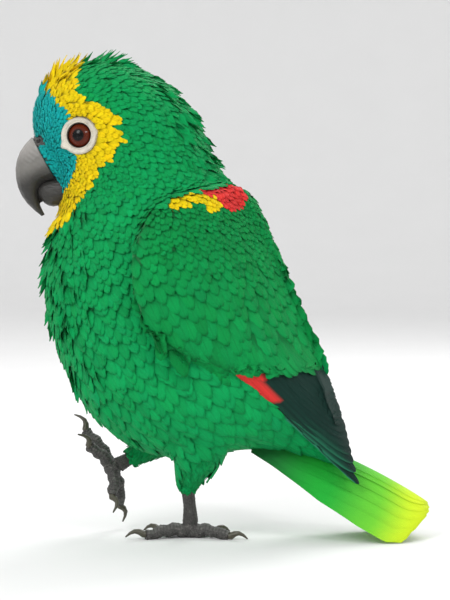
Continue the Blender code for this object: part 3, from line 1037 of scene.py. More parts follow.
class Vane:
    """A closed thin vane as a pattern: its points, faces and patch."""

    def __init__(self, rows, columns):
        whole = bmesh.new()
        bmesh.ops.create_grid(whole, x_segments=columns, y_segments=rows, size=1)
        # The top is arched and the underside flat, and their long edges meet.
        for vertex in whole.verts:
            vertex.co.z = 0.1 * (1 - vertex.co.x**2)
        under = bmesh.ops.create_grid(whole, x_segments=1, y_segments=rows, size=1)
        lower = {face for vertex in under["verts"] for face in vertex.link_faces}
        bmesh.ops.reverse_faces(whole, faces=list(lower))
        bmesh.ops.remove_doubles(whole, verts=whole.verts, dist=1e-5)
        rim = [edge for edge in whole.edges if edge.is_boundary]
        bmesh.ops.holes_fill(whole, edges=rim)
        bmesh.ops.recalc_face_normals(whole, faces=whole.faces)
        whole.verts.index_update()
        # Rows stand closer together towards the tip.
        self.stations = [1 - (1 - row / rows) ** 1.35 for row in range(rows + 1)]
        self.across = [vertex.co.x for vertex in whole.verts]
        self.row = [round((vertex.co.y + 1) / 2 * rows) for vertex in whole.verts]
        self.corners = []
        self.starts = []
        self.vane_uv = []
        self.patch_uv = []
        for face in whole.faces:
            below = face.normal.z < -0.5
            self.starts.append(len(self.corners))
            for vertex in face.verts:
                self.corners.append(vertex.index)
                side = (vertex.co.x + 1) / 2
                along = self.stations[self.row[vertex.index]]
                self.vane_uv.append((side, along))
                # The underside has a strip of the patch beside the top's.
                shift = blended(0.62, 1.0, side) if below else 0.56 * side
                self.patch_uv.append((shift * PATCH, along * PATCH))
        whole.free()

    def joined(self, name, points, tints, places):
        """One mesh of many vanes, from the points, tints and place of each."""
        count = len(points)
        size = len(self.across)
        mesh = bpy.data.meshes.new(name)
        mesh.vertices.add(count * size)
        mesh.loops.add(count * len(self.corners))
        mesh.polygons.add(count * len(self.starts))
        number = np.arange(count)[:, None]
        corners = np.array(self.corners)[None] + number * size
        starts = np.array(self.starts)[None] + number * len(self.corners)
        mesh.loops.foreach_set("vertex_index", corners.astype(np.int32).ravel())
        mesh.polygons.foreach_set("loop_start", starts.astype(np.int32).ravel())
        mesh.vertices.foreach_set("co", np.asarray(points, np.float32).ravel())
        mesh.update(calc_edges=True)
        patches = np.array(places)[:, None] + np.array(self.patch_uv)[None]
        self.add_uv(mesh, "OFBake", patches)
        self.add_uv(mesh, "Vane", np.tile(np.array(self.vane_uv)[None], (count, 1, 1)))
        set_tints(mesh, tints)
        mesh.validate()
        mesh.set_sharp_from_angle(angle=math.radians(50))
        return mesh

    @staticmethod
    def add_uv(mesh, name, values):
        layer = mesh.uv_layers.new(name=name)
        layer.data.foreach_set("uv", np.asarray(values, np.float32).ravel())


def outline_width(along, taper):
    """A feather's half width, as a share of its widest, along its length."""
    rise = 0.3 + 0.7 * smooth_step(0.0, 0.5, along)
    late = max((along - 0.5) / 0.5, 0.0)
    rounded = math.sqrt(max(1 - late * late, 0.0))
    pointed = (1 - late) ** 1.1
    return rise * max(blended(rounded, pointed, taper), 0.05)


def lay_feather(ground, vane, feather):
    """Points of a feather that lies on the ground from its root on."""
    place, normal = ground.drop(feather.root)
    first = normal if feather.region in WINGS else None
    turning = Matrix.Rotation(feather.turn, 3, normal)
    spine = []
    last = 0.0
    for station in vane.stations:
        reach = (station - last) * feather.length
        last = station
        if spine:
            _, _, heading, _ = spine[-1]
            there, facing = ground.drop(place + heading * reach)
            # A wing's rim is thin, and no feather wraps round it.
            if facing.dot(first or normal) > 0.35 and (there - place).length > 0.4 * reach:
                place = there
                normal = facing
            elif feather.region in THIGHS:
                place = place + heading * reach * 0.4
            elif feather.region in WINGS:
                place = place + WING_AXIS * reach
            else:
                place = place + heading * reach
        heading = turning @ body_heading(place, normal, feather.region)
        heading -= normal * heading.dot(normal)
        heading.normalize()
        spine.append((place, normal, heading, normal.cross(heading)))
    camber = feather.width * CAMBER
    points = []
    for across, row in zip(vane.across, vane.row):
        place, normal, heading, side = spine[row]
        along = vane.stations[row]
        half = feather.width / 2 * outline_width(along, feather.taper)
        if row % 2:
            half *= 1 - FRAY * smooth_step(0.3, 0.6, along)
        twist = feather.roll * smooth_step(0.1, 0.7, along)
        edge = side * math.cos(twist) + normal * math.sin(twist)
        spot = place + edge * (across * half)
        if abs(across) > 0.6 and not feather.roll:
            there, facing = ground.drop(spot)
            if (there - spot).length < 0.6 * half and facing.dot(normal) > 0.2:
                spot = there
        rise = feather.depth * along**0.9 + feather.lift * along**2.2
        rise += camber * (1 - across * across) * min(1.0, 0.4 + along)
        points.append(spot + normal * (rise + 0.1 * MM))
    return points


def clump(point, heading, normal, size):
    """(turn towards the middle of a point's clump, the clump's own number)."""
    centre = noise.voronoi(point / size)[1][0] * size
    side = normal.cross(heading)
    turn = math.atan2((centre - point).dot(side), 1.6 * size)
    return turn, min(max(0.5 + 0.8 * noise.noise(centre / size * 7.3), 0.0), 1.0)


def body_heading(place, normal, region):
    """The lie of the coat: away from the bill, then back and down."""
    away = place - BILL_ROOT
    near = math.exp(-((away.length / (80 * MM)) ** 2))
    low = smooth_step(215, 130, place.z / MM)
    axis = NECK_AXIS.lerp(TRUNK_AXIS, low)
    heading = away.normalized() * near + axis * (1 - near)
    if region in THIGHS:
        heading = THIGH_AXES[THIGHS[region]].copy()
    if region in WINGS:
        heading = WING_AXIS.copy()
    heading -= normal * heading.dot(normal)
    if heading.length < 1e-4:
        heading = normal.orthogonal()
    return heading.normalized()


def scatter(ground, random, wanted, length_of):
    """Roots spread over the wanted regions, closer where feathers are short."""
    plumage = bpy.context.scene.parrot_plumage
    chosen = np.isin(ground.regions[ground.triangles[:, 0]], list(wanted))
    triangles = ground.triangles[chosen]
    regions = ground.regions[triangles[:, 0]]
    a, b, c = (ground.points[triangles[:, corner]] for corner in range(3))
    facings = np.cross(b - a, c - a)
    area = np.linalg.norm(facings, axis=1) / 2
    middle = (a + b + c) / 3
    lengths = np.array([length_of(Vector(point)) for point in middle])
    spacing = lengths * plumage.spacing
    weight = area / spacing**2
    # Three tries for each root that there is room for.
    count = int(weight.sum() * 3)
    picks = random.choice(len(triangles), size=count, p=weight / weight.sum())
    share = random.random((count, 2))
    over = share.sum(axis=1) > 1
    share[over] = 1 - share[over]
    spots = a[picks] + (b - a)[picks] * share[:, :1] + (c - a)[picks] * share[:, 1:]
    tree = KDTree(count)
    for index, spot in enumerate(spots):
        tree.insert(spot, index)
    tree.balance()
    free = [True] * count
    roots = []
    for index, spot in enumerate(spots):
        if not free[index]:
            continue
        pick = picks[index]
        roots.append((Vector(spot), int(regions[pick]), float(lengths[pick])))
        # Both sides of a thin wing are feathered, so only roots that face the
        # same way need room.
        for _, other, _ in tree.find_range(spot, spacing[pick]):
            if facings[pick] @ facings[picks[other]] > 0:
                free[other] = False
    return roots


def eye_frame(side):
    """(centre, outward axis, radius) of an eyeball, fitted to its CAD node."""
    name = SIDE_NAMES[side]
    shell = points_of(NODES["eye_" + name].data)
    ring = points_of(NODES["eye_ring_" + name].data)
    # The ball is fitted to the outer two thirds of its points.
    far = shell[np.argsort(np.abs(shell[:, 1]))[len(shell) // 3 :]]
    terms = np.column_stack([2 * far, np.ones(len(far))])
    found = np.linalg.lstsq(terms, (far**2).sum(axis=1), rcond=None)[0]
    centre = Vector(found[:3])
    radius = math.sqrt(found[3] + centre.length_squared)
    axis = Vector(ring.mean(axis=0)) - centre
    return centre, axis.normalized(), radius


def corner_reach(angle):
    """How far the ring's outline juts out at its two corners."""
    total = 0.0
    for corner in EYE_CORNERS:
        turn = math.remainder(angle - corner, 2 * math.pi)
        total += math.exp(-((turn / CORNER_WIDTH) ** 2))
    return total


def ring_clearance(point, eye):
    """How far a point is outside the bare ring round an eye."""
    centre, axis, _ = eye
    away = point - centre
    ahead = away.dot(axis)
    if ahead < 0:
        return 1.0
    flat = away - axis * ahead
    outline = RING_OUTLINE + CORNER_REACH * corner_reach(math.atan2(flat.x, flat.z))
    return flat.length - outline * MM


def eye_room(point, eyes):
    """How far a point is outside the nearer eye's bare ring."""
    return min(ring_clearance(point, eye) for eye in eyes)


def drawn(random, low, high):
    """A random number between two others."""
    return float(random.uniform(low, high))


def swung(random, degrees):
    """A random turn, mostly smaller than an angle."""
    return float(random.normal()) * math.radians(degrees)


def leaning(random, low, high):
    """A random twist to either side."""
    return float(random.choice((-1.0, 1.0))) * drawn(random, low, high)


def tinted(tint, fringe, random, spread=0.07):
    """A feather's tint, a little lighter or darker than its neighbours'."""
    level = 1 + spread * float(random.normal())
    warm = 0.5 * spread * float(random.normal())
    red, green, blue = tint
    changed = (red * (level + warm), green * level, blue * (level - warm))
    return (*[min(max(value, 0.0), 1.0) for value in changed], fringe)


class Plumes:
    """The feathers of one piece, as they are laid one by one."""

    def __init__(self, vane, unwrap):
        self.vane = vane
        self.unwrap = unwrap
        self.points = []
        self.tints = []
        self.places = []

    def add(self, points, tints, root):
        self.points.append(points)
        self.tints.append(tints)
        self.places.append(self.unwrap.place(root))

    def finish(self, name, material, replaced=()):
        mesh = self.vane.joined(name, self.points, self.tints, self.places)
        add_piece(name, mesh, material, replaced)


def coat_material():
    """Soft feathers of the coat."""
    return feather_material(
        "coat_feathers", roughness=0.62, barbs=16.0, root_shade=0.55, relief=0.25
    )


def start_coat(draw):
    """The random draws of one operator, and the ground and unwrap of its feathers."""
    random = np.random.default_rng(bpy.context.scene.parrot_plumage.seed + draw)
    return random, Ground(), Unwrap()


def add_coat(name, vane, feathers, ground, unwrap, random):
    """One piece of the coat from its feathers."""
    plumes = Plumes(vane, unwrap)
    for feather in feathers:
        laid = lay_feather(ground, vane, feather)
        heading = body_heading(feather.root, ground.drop(feather.root)[1], feather.region)
        shown = feather.root + heading * feather.length * 0.62
        tint, fringe = marking(shown, feather.region)
        plumes.add(laid, [tinted(tint, fringe, random)] * len(laid), feather.root)
    plumes.finish(name, coat_material())


def under_solid(root, normal, trees, room):
    """True if one of some solids stands close over a feather's root."""
    start = root + normal * 0.1 * MM
    return any(tree.ray_cast(start, normal, room * MM)[0] for tree in trees)


# ------------------------------------------------------------------- operators


class PARROT_OT_skin(bpy.types.Operator):
    """Lay one skin inside the solids of the flesh"""

    bl_idname = "parrot.skin"
    bl_label = "Skin"

    def execute(self, context):
        make_skin()
        return {"FINISHED"}


def nostril_distance(point):
    """How far a point is from the nearer nostril, in millimetres."""
    return (Vector((point[0], abs(point[1]), point[2])) - NOSTRIL).length / MM


def head_length(point):
    """Feathers grow longer away from the bill."""
    far = (point - BILL_ROOT).length / MM
    return blended(*HEAD_LENGTHS, smooth_step(14, 78, far)) * MM


class PARROT_OT_head_coat(bpy.types.Operator):
    """Feather the face and the crown"""

    bl_idname = "parrot.head_coat"
    bl_label = "Head feathers"

    def execute(self, context):
        random, ground, unwrap = start_coat(0)
        eyes = [eye_frame(side) for side in (LEFT, RIGHT)]
        face = []
        crown = []
        for root, region, length in scatter(ground, random, {HEAD, CERE}, head_length):
            normal = ground.drop(root)[1]
            heading = body_heading(root, normal, region)
            if region == CERE and root.z > CERE_BARE_ABOVE * MM:
                continue
            if nostril_distance(root) < NOSTRIL_BARE or eye_room(root, eyes) < 0:
                continue
            shortened = length * drawn(random, 0.9, 1.15)
            # Tips may reach over the bare ring's rim, but no further.
            while eye_room(root + heading * shortened, eyes) < -0.7 * MM:
                shortened *= 0.8
            if shortened < 0.35 * length:
                continue
            x = root.x / MM
            z = root.z / MM
            lift = 0.0
            taper = 0.25
            roll = 0.0
            turn, own = clump(root, heading, normal, HEAD_CLUMP * MM)
            lean = leaning(random, 0.6, 1.15)
            # Crest feathers of the forehead and crown stand up here and there.
            on_top = smooth_step(0.2, 0.6, normal.z) * smooth_step(15, 5, abs(root.y) / MM)
            on_top *= smooth_step(-30, -60, x) * smooth_step(244, 256, z)
            width = length * drawn(random, 0.5, 0.6)
            if on_top > 0.2 and random.random() < 0.16 + 0.5 * own:
                lift = CREST_HEIGHT * on_top * (0.4 + 0.8 * own) * MM
                taper = 0.8
                shortened = CREST_LENGTH * drawn(random, 0.85, 1.15) * MM
                width = CREST_WIDTH * MM
                roll = lean
            behind = smooth_step(0.3, 0.8, normal.x)
            if behind > 0.2 and random.random() < 0.08 + 0.3 * own:
                lift = NAPE_HEIGHT * behind * (0.3 + 0.8 * own) * MM
                taper = 0.75
                shortened *= 1.4
                width *= 1.1
                roll = lean
            turn = 0.5 * turn + swung(random, 5)
            feather = Feather(
                root, region, shortened, width, coat_depth(root), lift, taper, turn, roll
            )
            shown = root + heading * length * 0.6
            yellow = inside(YELLOW_PATCH, shown.x / MM, shown.z / MM)
            (face if yellow else crown).append(feather)
        vane = Vane(rows=8, columns=2)
        add_coat("coat_face", vane, face, ground, unwrap, random)
        add_coat("coat_crown", vane, crown, ground, unwrap, random)
        return {"FINISHED"}


def body_length(point):
    """Feathers grow longer down the trunk."""
    along = (point - Vector((-34, 0, 205)) * MM).dot(TRUNK_AXIS) / MM
    return blended(*BODY_LENGTHS, smooth_step(-20, 150, along)) * MM


class PARROT_OT_body_coat(bpy.types.Operator):
    """Feather the neck and the trunk"""

    bl_idname = "parrot.body_coat"
    bl_label = "Body feathers"

    def execute(self, context):
        random, ground, unwrap = start_coat(1)
        over = [node_tree(name) for name in ("tail", "tarsus_left", "tarsus_right")]
        groups = {"coat_neck": [], "coat_trunk_left": [], "coat_trunk_right": []}
        for root, region, length in scatter(ground, random, {NECK, TRUNK}, body_length):
            normal = ground.drop(root)[1]
            if under_solid(root, normal, over, 3.5):
                continue
            heading = body_heading(root, normal, region)
            turn, own = clump(root, heading, normal, BODY_CLUMP * MM)
            lean = leaning(random, 0.5, 1.0)
            long = length * drawn(random, 0.88, 1.14)
            width = length * drawn(random, 0.56, 0.68)
            lift = 0.4 * own * MM
            taper = 0.35
            roll = 0.0
            in_front = smooth_step(-0.45, -0.85, normal.x)
            in_front *= smooth_step(72, 90, root.z / MM)
            behind = smooth_step(0.5, 0.85, normal.x) * smooth_step(185, 200, root.z / MM)
            loose = max(in_front, behind)
            if loose > 0.2 and random.random() < 0.05 + 0.4 * own:
                lift = BREAST_HEIGHT * loose * (0.3 + 0.8 * own) * MM
                taper = 0.8
                long *= 1.25
                width *= 0.9
                roll = lean
            turn = 0.5 * turn + swung(random, 5)
            feather = Feather(root, region, long, width, coat_depth(root), lift, taper, turn, roll)
            name = "coat_neck"
            if region == TRUNK:
                name = "coat_trunk_left" if root.y < 0 else "coat_trunk_right"
            groups[name].append(feather)
        for name, feathers in groups.items():
            add_coat(name, Vane(rows=9, columns=4), feathers, ground, unwrap, random)
        return {"FINISHED"}


def thigh_length(point):
    """Feathers grow shorter down the thigh."""
    return blended(*THIGH_LENGTHS, smooth_step(30, 66, point.z / MM)) * MM


class PARROT_OT_thigh_coat(bpy.types.Operator):
    """Feather the thighs down to the bare legs"""

    bl_idname = "parrot.thigh_coat"
    bl_label = "Thigh feathers"

    def execute(self, context):
        random, ground, unwrap = start_coat(2)
        over = [node_tree(name) for name in ("tarsus_left", "tarsus_right")]
        feathers = []
        for root, region, length in scatter(ground, random, set(THIGHS), thigh_length):
            normal = ground.drop(root)[1]
            if under_solid(root, normal, over, 2.5):
                continue
            feather = Feather(
                root,
                region,
                length=length * drawn(random, 0.88, 1.14),
                width=length * drawn(random, 0.5, 0.6),
                depth=1.6 * MM,
                lift=0.0,
                taper=0.55,
                turn=swung(random, 7),
                roll=0.0,
            )
            feathers.append(feather)
        add_coat("coat_thighs", Vane(rows=8, columns=2), feathers, ground, unwrap, random)
        return {"FINISHED"}


def wing_length(point):
    """Coverts grow longer down the wing."""
    down = (WING_TOP - point.z / MM) / (WING_TOP - LONG_COVERTS)
    return blended(*WING_LENGTHS, smooth_step(0.0, 1.0, down)) * MM


def past_coverts(point):
    """How far a point of the wing is past the line where the coverts end."""
    start, end = COVERT_END
    along = (end - start).normalized()
    away = Vector((point.x, point.z)) - start
    return along.x * -away.y + along.y * away.x


class PARROT_OT_wing_coat(bpy.types.Operator):
    """Feather the wings with small and middle coverts"""

    bl_idname = "parrot.wing_coat"
    bl_label = "Wing coverts"

    def execute(self, context):
        random, ground, unwrap = start_coat(3)
        groups = {side: [] for side in (LEFT, RIGHT)}
        for root, region, length in scatter(ground, random, set(WINGS), wing_length):
            normal = ground.drop(root)[1]
            # None grow where the wing faces its own tips or straight away from them.
            if not -0.97 < normal.dot(WING_AXIS) < 0.8:
                continue
            heading = body_heading(root, normal, region)
            long = length * drawn(random, 0.92, 1.08)
            over = past_coverts(root + heading * long) - drawn(random, 1.0, 5.5) * MM
            if over > 0:
                long -= over / max(-heading.z, 0.3)
            if long < 8 * MM and length > 14 * MM:
                continue
            feather = Feather(
                root,
                region,
                length=max(long, 4 * MM),
                width=length * drawn(random, 0.54, 0.6),
                depth=2.0 * MM,
                lift=0.0,
                taper=0.15,
                turn=swung(random, 3),
                roll=0.0,
            )
            groups[WINGS[region]].append(feather)
        for side, feathers in groups.items():
            name = "coat_wing_" + SIDE_NAMES[side]
            add_coat(name, Vane(rows=9, columns=4), feathers, ground, unwrap, random)
        return {"FINISHED"}


# ------------------------------------------------------- flight and tail feathers


def blade_width(along, taper, round_from=0.72):
    """Half width of a long feather as a share of its widest."""
    rise = 0.45 + 0.55 * smooth_step(0.0, 0.3, along)
    late = max((along - round_from) / (1 - round_from), 0.0)
    rounded = math.sqrt(max(1 - late**2.2, 0.0))
    narrow = 1 - taper * 0.45 * smooth_step(0.2, 0.8, along)
    return rise * narrow * max(rounded, 0.05)


def lay_blade(vane, surface, root, tip, width, layer, bend, taper):
    """Points of a long stiff feather from root to tip over a wing.

    root and tip are spots of the XZ plane. layer gives the height over the
    surface at the root and at the tip, and the front edge stands up over the
    feather before it.
    """
    heading = (tip - root).normalized()
    side = Vector((-heading.y, heading.x))
    length = (tip - root).length
    points = []
    for across, row in zip(vane.across, vane.row):
        along = vane.stations[row]
        bow = bend * math.sin(math.pi * along) * length
        middle = root + heading * along * length + side * bow
        half = width / 2 * blade_width(along, taper)
        place, outward = surface(middle + side * across * half)
        shaft = 0.5 * (1 - along) * math.exp(-((across / 0.15) ** 2))
        body = 0.2 * (1 - across * across) - BLADE_TILT * across
        points.append(place + outward * (blended(*layer, along) + (shaft + body) * MM))
    return points


def wing_surface(side):
    """The outer face of a folded wing over the XZ plane."""
    name = SIDE_NAMES[side]
    whole = joined_nodes(["wing_" + name, "flight_feathers_" + name])
    tree = BVHTree.FromBMesh(whole)
    whole.free()
    outward = Vector((0, side, 0))

    def find(spot):
        start = Vector((spot.x, side * 0.2, spot.y))
        place = tree.ray_cast(start, -outward)[0]
        if place is None:
            near = tree.find_nearest(Vector((spot.x, side * 0.03, spot.y)))[0]
            place = near.lerp(Vector((spot.x, near.y, spot.y)), BLADE_OVERHANG)
        return place, outward

    return find


def great_coverts(name, surface, random, unwrap):
    """The last row of coverts, whose tips hang over the flight feathers."""
    vane = Vane(rows=16, columns=4)
    plumes = Plumes(vane, unwrap)
    start, end = COVERT_END
    down = Vector((WING_AXIS.x, WING_AXIS.z))
    tint, fringe = marking(Vector((start.x, 0, start.y)), CORE.index("wing_" + name))
    for number in range(GREAT_COVERTS):
        share = number / (GREAT_COVERTS - 1)
        # The tips stand further out and sharper towards the back edge.
        low = start.lerp(end, share) + down * drawn(random, -1.0, 1.5 + 3.0 * share) * MM
        high = low - down * GREAT_COVERT_LENGTH * MM
        high.x -= 9.0 * share**2 * MM
        rise = 0.5 * share
        laid = lay_blade(
            vane,
            surface,
            high,
            low,
            width=GREAT_COVERT_WIDTH * MM,
            layer=((rise - 2.0) * MM, (rise + 0.1) * MM),
            bend=0.0,
            taper=blended(0.3, 1.0, share),
        )
        plumes.add(laid, [tinted(tint, fringe, random)] * len(laid), laid[0])
    plumes.finish("great_coverts_" + name, coat_material())


def flight_tint(point, across, edge, random):
    """Dark web with a green outer edge, and red at the wing's red patch."""
    plumage = bpy.context.scene.parrot_plumage
    if inside(WING_RED, point.x / MM, point.z / MM):
        return tinted(plumage.red, 0.1, random, 0.0)
    dark = Vector(plumage.flight_dark)
    shown = dark.lerp(Vector(plumage.flight_edge), edge * smooth_step(0.35, 1.0, across))
    return tinted(shown, 0.3, random, 0.0)


class PARROT_OT_flights(bpy.types.Operator):
    """Lay the great coverts and the flight feathers of each folded wing"""

    bl_idname = "parrot.flights"
    bl_label = "Flight feathers"

    def execute(self, context):
        random = np.random.default_rng(context.scene.parrot_plumage.seed + 4)
        unwrap = Unwrap()
        vane = Vane(rows=44, columns=4)
        material = feather_material(
            "flight_feathers", roughness=0.42, barbs=60.0, root_shade=0.0, relief=0.12
        )
        front_root, back_root = FLIGHT_ROOTS
        front_tip, back_tip = FLIGHT_TIPS
        forward = (front_root - back_root).normalized()
        for side, name in SIDE_NAMES.items():
            surface = wing_surface(side)
            great_coverts(name, surface, random, unwrap)
            plumes = Plumes(vane, unwrap)
            for number in range(FLIGHT_COUNT):
                share = number / (FLIGHT_COUNT - 1)
                root = front_root.lerp(back_root, share * 0.94)
                root = root - forward * 6 * MM * (1 - share)
                inner = smooth_step(0.0, 0.4, share)
                laid = lay_blade(
                    vane,
                    surface,
                    root,
                    front_tip.lerp(back_tip, share**0.8),
                    width=blended(*FLIGHT_WIDTHS, share) * MM,
                    layer=(blended(-1.2, -2.4, inner) * MM, blended(-0.9, -0.2, share) * MM),
                    bend=-0.012,
                    taper=blended(0.9, 0.3, share),
                )
                tints = [
                    flight_tint(point, -across, 1 - inner, random)
                    for point, across in zip(laid, vane.across)
                ]
                plumes.add(laid, tints, laid[0])
            solid = "flight_feathers_" + name
            plumes.finish("flights_" + name, material, [solid])
        return {"FINISHED"}


def tail_measure(along, field):
    """One measure of the tail at a share of its length."""
    stations = [section.along for section in TAIL_SECTIONS]
    values = [getattr(section, field) for section in TAIL_SECTIONS]
    return float(np.interp(along, stations, values)) * MM


def tail_place(along, across, layer):
    """A place in the tail and its facing.

    across runs from -1 at one edge to 1 at the other, and layer from -1
    under the tail to 1 on top of it.
    """
    start, bend, end = TAIL_RIDGE
    rest = 1 - along
    ridge = start * rest * rest + bend * 2 * rest * along + end * along * along
    heading = ((bend - start) * rest + (end - bend) * along).normalized()
    up = Vector((-heading.z, 0, heading.x))
    half_width = tail_measure(along, "half_width")
    drop = tail_measure(along, "drop")
    room = math.sqrt(max(1 - across * across, 0.0))
    rise = layer * tail_measure(along, "thickness") / 2 * room - drop * across * across
    slope = Vector((0, 2 * drop * across / half_width, 0))
    side = Vector((0, half_width * across, 0))
    return ridge + side + up * rise, (up + slope).normalized()


def lay_tail_feather(vane, middle, layer, end):
    """Points of a tail feather that lies middle across and ends at a share."""
    points = []
    for across, row in zip(vane.across, vane.row):
        station = vane.stations[row]
        along = station * end
        half = TAIL_FEATHER_WIDTH / 2 * MM * blade_width(station, 0.1, 0.86)
        spread = middle + across * half / tail_measure(along, "half_width")
        place, facing = tail_place(along, min(max(spread, -1.0), 1.0), layer)
        shaft = 0.4 * (1 - station) * MM * math.exp(-((across / 0.15) ** 2))
        points.append(place + facing * (0.35 * MM * (1 - across * across) + shaft))
    return points


def tail_tint(along, random):
    """Dark green at the rump as painted shade under the rump and wings, brighter to the middle,
    and lime to the tip.
    """
    plumage = bpy.context.scene.parrot_plumage
    shown = Vector(plumage.tail_root)
    shown = shown.lerp(Vector(plumage.tail_middle), smooth_step(0.05, 0.45, along))
    shown = shown.lerp(Vector(plumage.tail_end), smooth_step(0.45, 0.8, along))
    shown = shown.lerp(Vector(plumage.tail_tip), smooth_step(0.72, 0.97, along))
    return tinted(shown, 0.12, random, 0.0)


class PARROT_OT_tail(bpy.types.Operator):
    """Lay twelve tail feathers, the middle pair on top"""

    bl_idname = "parrot.tail"
    bl_label = "Tail feathers"

    def execute(self, context):
        random = np.random.default_rng(context.scene.parrot_plumage.seed + 5)
        unwrap = Unwrap()
        vane = Vane(rows=28, columns=6)
        plumes = Plumes(vane, unwrap)
        material = feather_material(
            "tail_feathers", roughness=0.5, barbs=60.0, root_shade=0.0, relief=0.12
        )
        for pair in reversed(range(TAIL_PAIRS)):
            share = pair / (TAIL_PAIRS - 1)
            for side in (LEFT, RIGHT):
                middle = side * blended(0.05, 0.77, share)
                layer = blended(0.9, -0.9, share) + 0.08 * side
                end = 0.975 + 0.1 * share * (1 - share) - 0.015 * share
                laid = lay_tail_feather(vane, middle, layer, end)
                # The outer pairs, which lie under the middle ones, keep a little more of the
                # root's darker green as painted shade.
                darker = blended(1, 0.94, share)
                tints = [tail_tint(vane.stations[row] * darker, random) for row in vane.row]
                plumes.add(laid, tints, laid[0])
        plumes.finish("tail_feathers", material, ["tail"])
        return {"FINISHED"}


# ------------------------------------------------------------ bill, eyes and feet


def upper_bill_tint(wiring, place):
    """Grey near the face, darker to the hooked tip. Places are in metres."""
    bare = bpy.context.scene.parrot_bare
    x, _, z = wiring.split(place)
    down = wiring.math("MULTIPLY", z, -1.0)
    low = wiring.step(down, -0.236, -0.2)
    back = wiring.step(x, -0.102, -0.08)
    share = wiring.math("MULTIPLY_ADD", back, 0.28, low, clamp=True)
    root = wiring.mix(wiring.step(share, 0.0, 0.5), bare.bill_root, bare.bill_middle)
    return wiring.mix(wiring.step(share, 0.55, 1.0), root, bare.bill_tip)


def lower_bill_tint(wiring, place):
    """Dark grey, mottled a little."""
    dark = bpy.context.scene.parrot_bare.lower_bill
    return wiring.mix(wiring.noise(place, 240.0), dark, shaded(dark, 1.3))


def shape_points(mesh, move):
    """Moves each point by move(point, normal), a distance along its normal."""
    points = points_of(mesh)
    normals = normals_of(mesh)
    shifts = [move(Vector(p), Vector(n)) for p, n in zip(points, normals)]
    set_points(mesh, points + normals * np.array(shifts)[:, None])


def cere_relief(point, normal):
    """A nostril on each side, with a swollen rim."""
    far = nostril_distance(point)
    pit = -NOSTRIL_DEPTH * math.exp(-((far / NOSTRIL_WIDTH) ** 2))
    rim = RIM_HEIGHT * math.exp(-(((far - RIM_RADIUS) / 0.7) ** 2))
    # Lower down it lies under the feathers of the face.
    sunk = -1.3 * smooth_step(CERE_BARE_ABOVE + 2, CERE_BARE_ABOVE - 2, point.z / MM)
    return (pit + rim + sunk + 0.06 * noise.noise(point * 900)) * MM


def upper_bill_relief(point, normal):
    """A ridge along the top, and a fine grain."""
    ridge = 0.35 * math.exp(-((point.y / MM / 1.6) ** 2)) * smooth_step(0.0, -0.5, normal.x)
    grain = 0.05 * noise.noise(point * 500)
    return (ridge + grain) * MM


def lower_bill_relief(point, normal):
    """A fine grain."""
    return 0.06 * noise.noise(point * 500) * MM


class PARROT_OT_bill(bpy.types.Operator):
    """Shape the cere and both halves of the bill"""

    bl_idname = "parrot.bill"
    bl_label = "Bill"

    def execute(self, context):
        bare = context.scene.parrot_bare
        upper = remeshed(["upper_bill"], voxel=0.5, smoothing=7)
        shape_points(upper, upper_bill_relief)
        horn = horn_material("bill_horn", 0.42, upper_bill_tint, layers=420.0, relief=0.1)
        add_piece("bill_upper", upper, horn, ["upper_bill"])
        lower = remeshed(["lower_bill"], voxel=0.5, smoothing=5)
        shape_points(lower, lower_bill_relief)
        dark = horn_material("lower_bill_horn", 0.46, lower_bill_tint, layers=480.0, relief=0.1)
        add_piece("bill_lower", lower, dark, ["lower_bill"])
        cere = remeshed(["cere"], voxel=0.4, smoothing=3)
        shape_points(cere, cere_relief)
        pebbled = scale_material("cere_skin", bare.cere, scale=1500.0, dryness=0.3, relief=0.1)
        add_piece("bill_cere", cere, pebbled, ["cere"])
        return {"FINISHED"}


def spin_round(whole, steps):
    """Spins all that is in a bmesh a full turn round Z."""
    bmesh.ops.spin(
        whole,
        geom=whole.verts[:] + whole.edges[:],
        axis=(0, 0, 1),
        cent=(0, 0, 0),
        angle=2 * math.pi,
        steps=steps,
        use_merge=True,
    )


def eye_matrix(side):
    """Places local Z on the eye's axis, Y up and X towards the tail."""
    centre, axis, _ = eye_frame(side)
    up = Vector((0, 0, 1))
    up = (up - axis * up.dot(axis)).normalized()
    back = up.cross(axis)
    if back.x < 0:
        back.negate()
    rotation = Matrix((back, up, axis)).transposed().to_4x4()
    return Matrix.Translation(centre) @ rotation


def eyeball(side):
    """A glossy ball with a bulging cornea, looking along its own pole."""
    _, _, radius = eye_frame(side)
    whole = bmesh.new()
    bmesh.ops.create_uvsphere(whole, u_segments=64, v_segments=48, radius=radius)
    bmesh.ops.bisect_plane(
        whole,
        geom=whole.verts[:] + whole.edges[:] + whole.faces[:],
        plane_co=(0, 0, EYEBALL_BACK * MM),
        plane_no=(0, 0, -1),
        clear_outer=True,
    )
    bmesh.ops.holes_fill(whole, edges=[edge for edge in whole.edges if edge.is_boundary])
    reach = CORNEA_RADIUS * MM
    for vertex in whole.verts:
        wide = math.hypot(vertex.co.x, vertex.co.y)
        if vertex.co.z > 0 and wide < reach:
            vertex.co.z += CORNEA_BULGE * MM * (1 - (wide / reach) ** 2) ** 2
    layer = whole.loops.layers.uv.new("Gaze")
    for face in whole.faces:
        for loop in face.loops:
            loop[layer].uv = (loop.vert.co.x / radius, loop.vert.co.y / radius)
    bmesh.ops.transform(whole, matrix=eye_matrix(side), verts=whole.verts)
    bmesh.ops.recalc_face_normals(whole, faces=whole.faces)
    return mesh_of(whole)


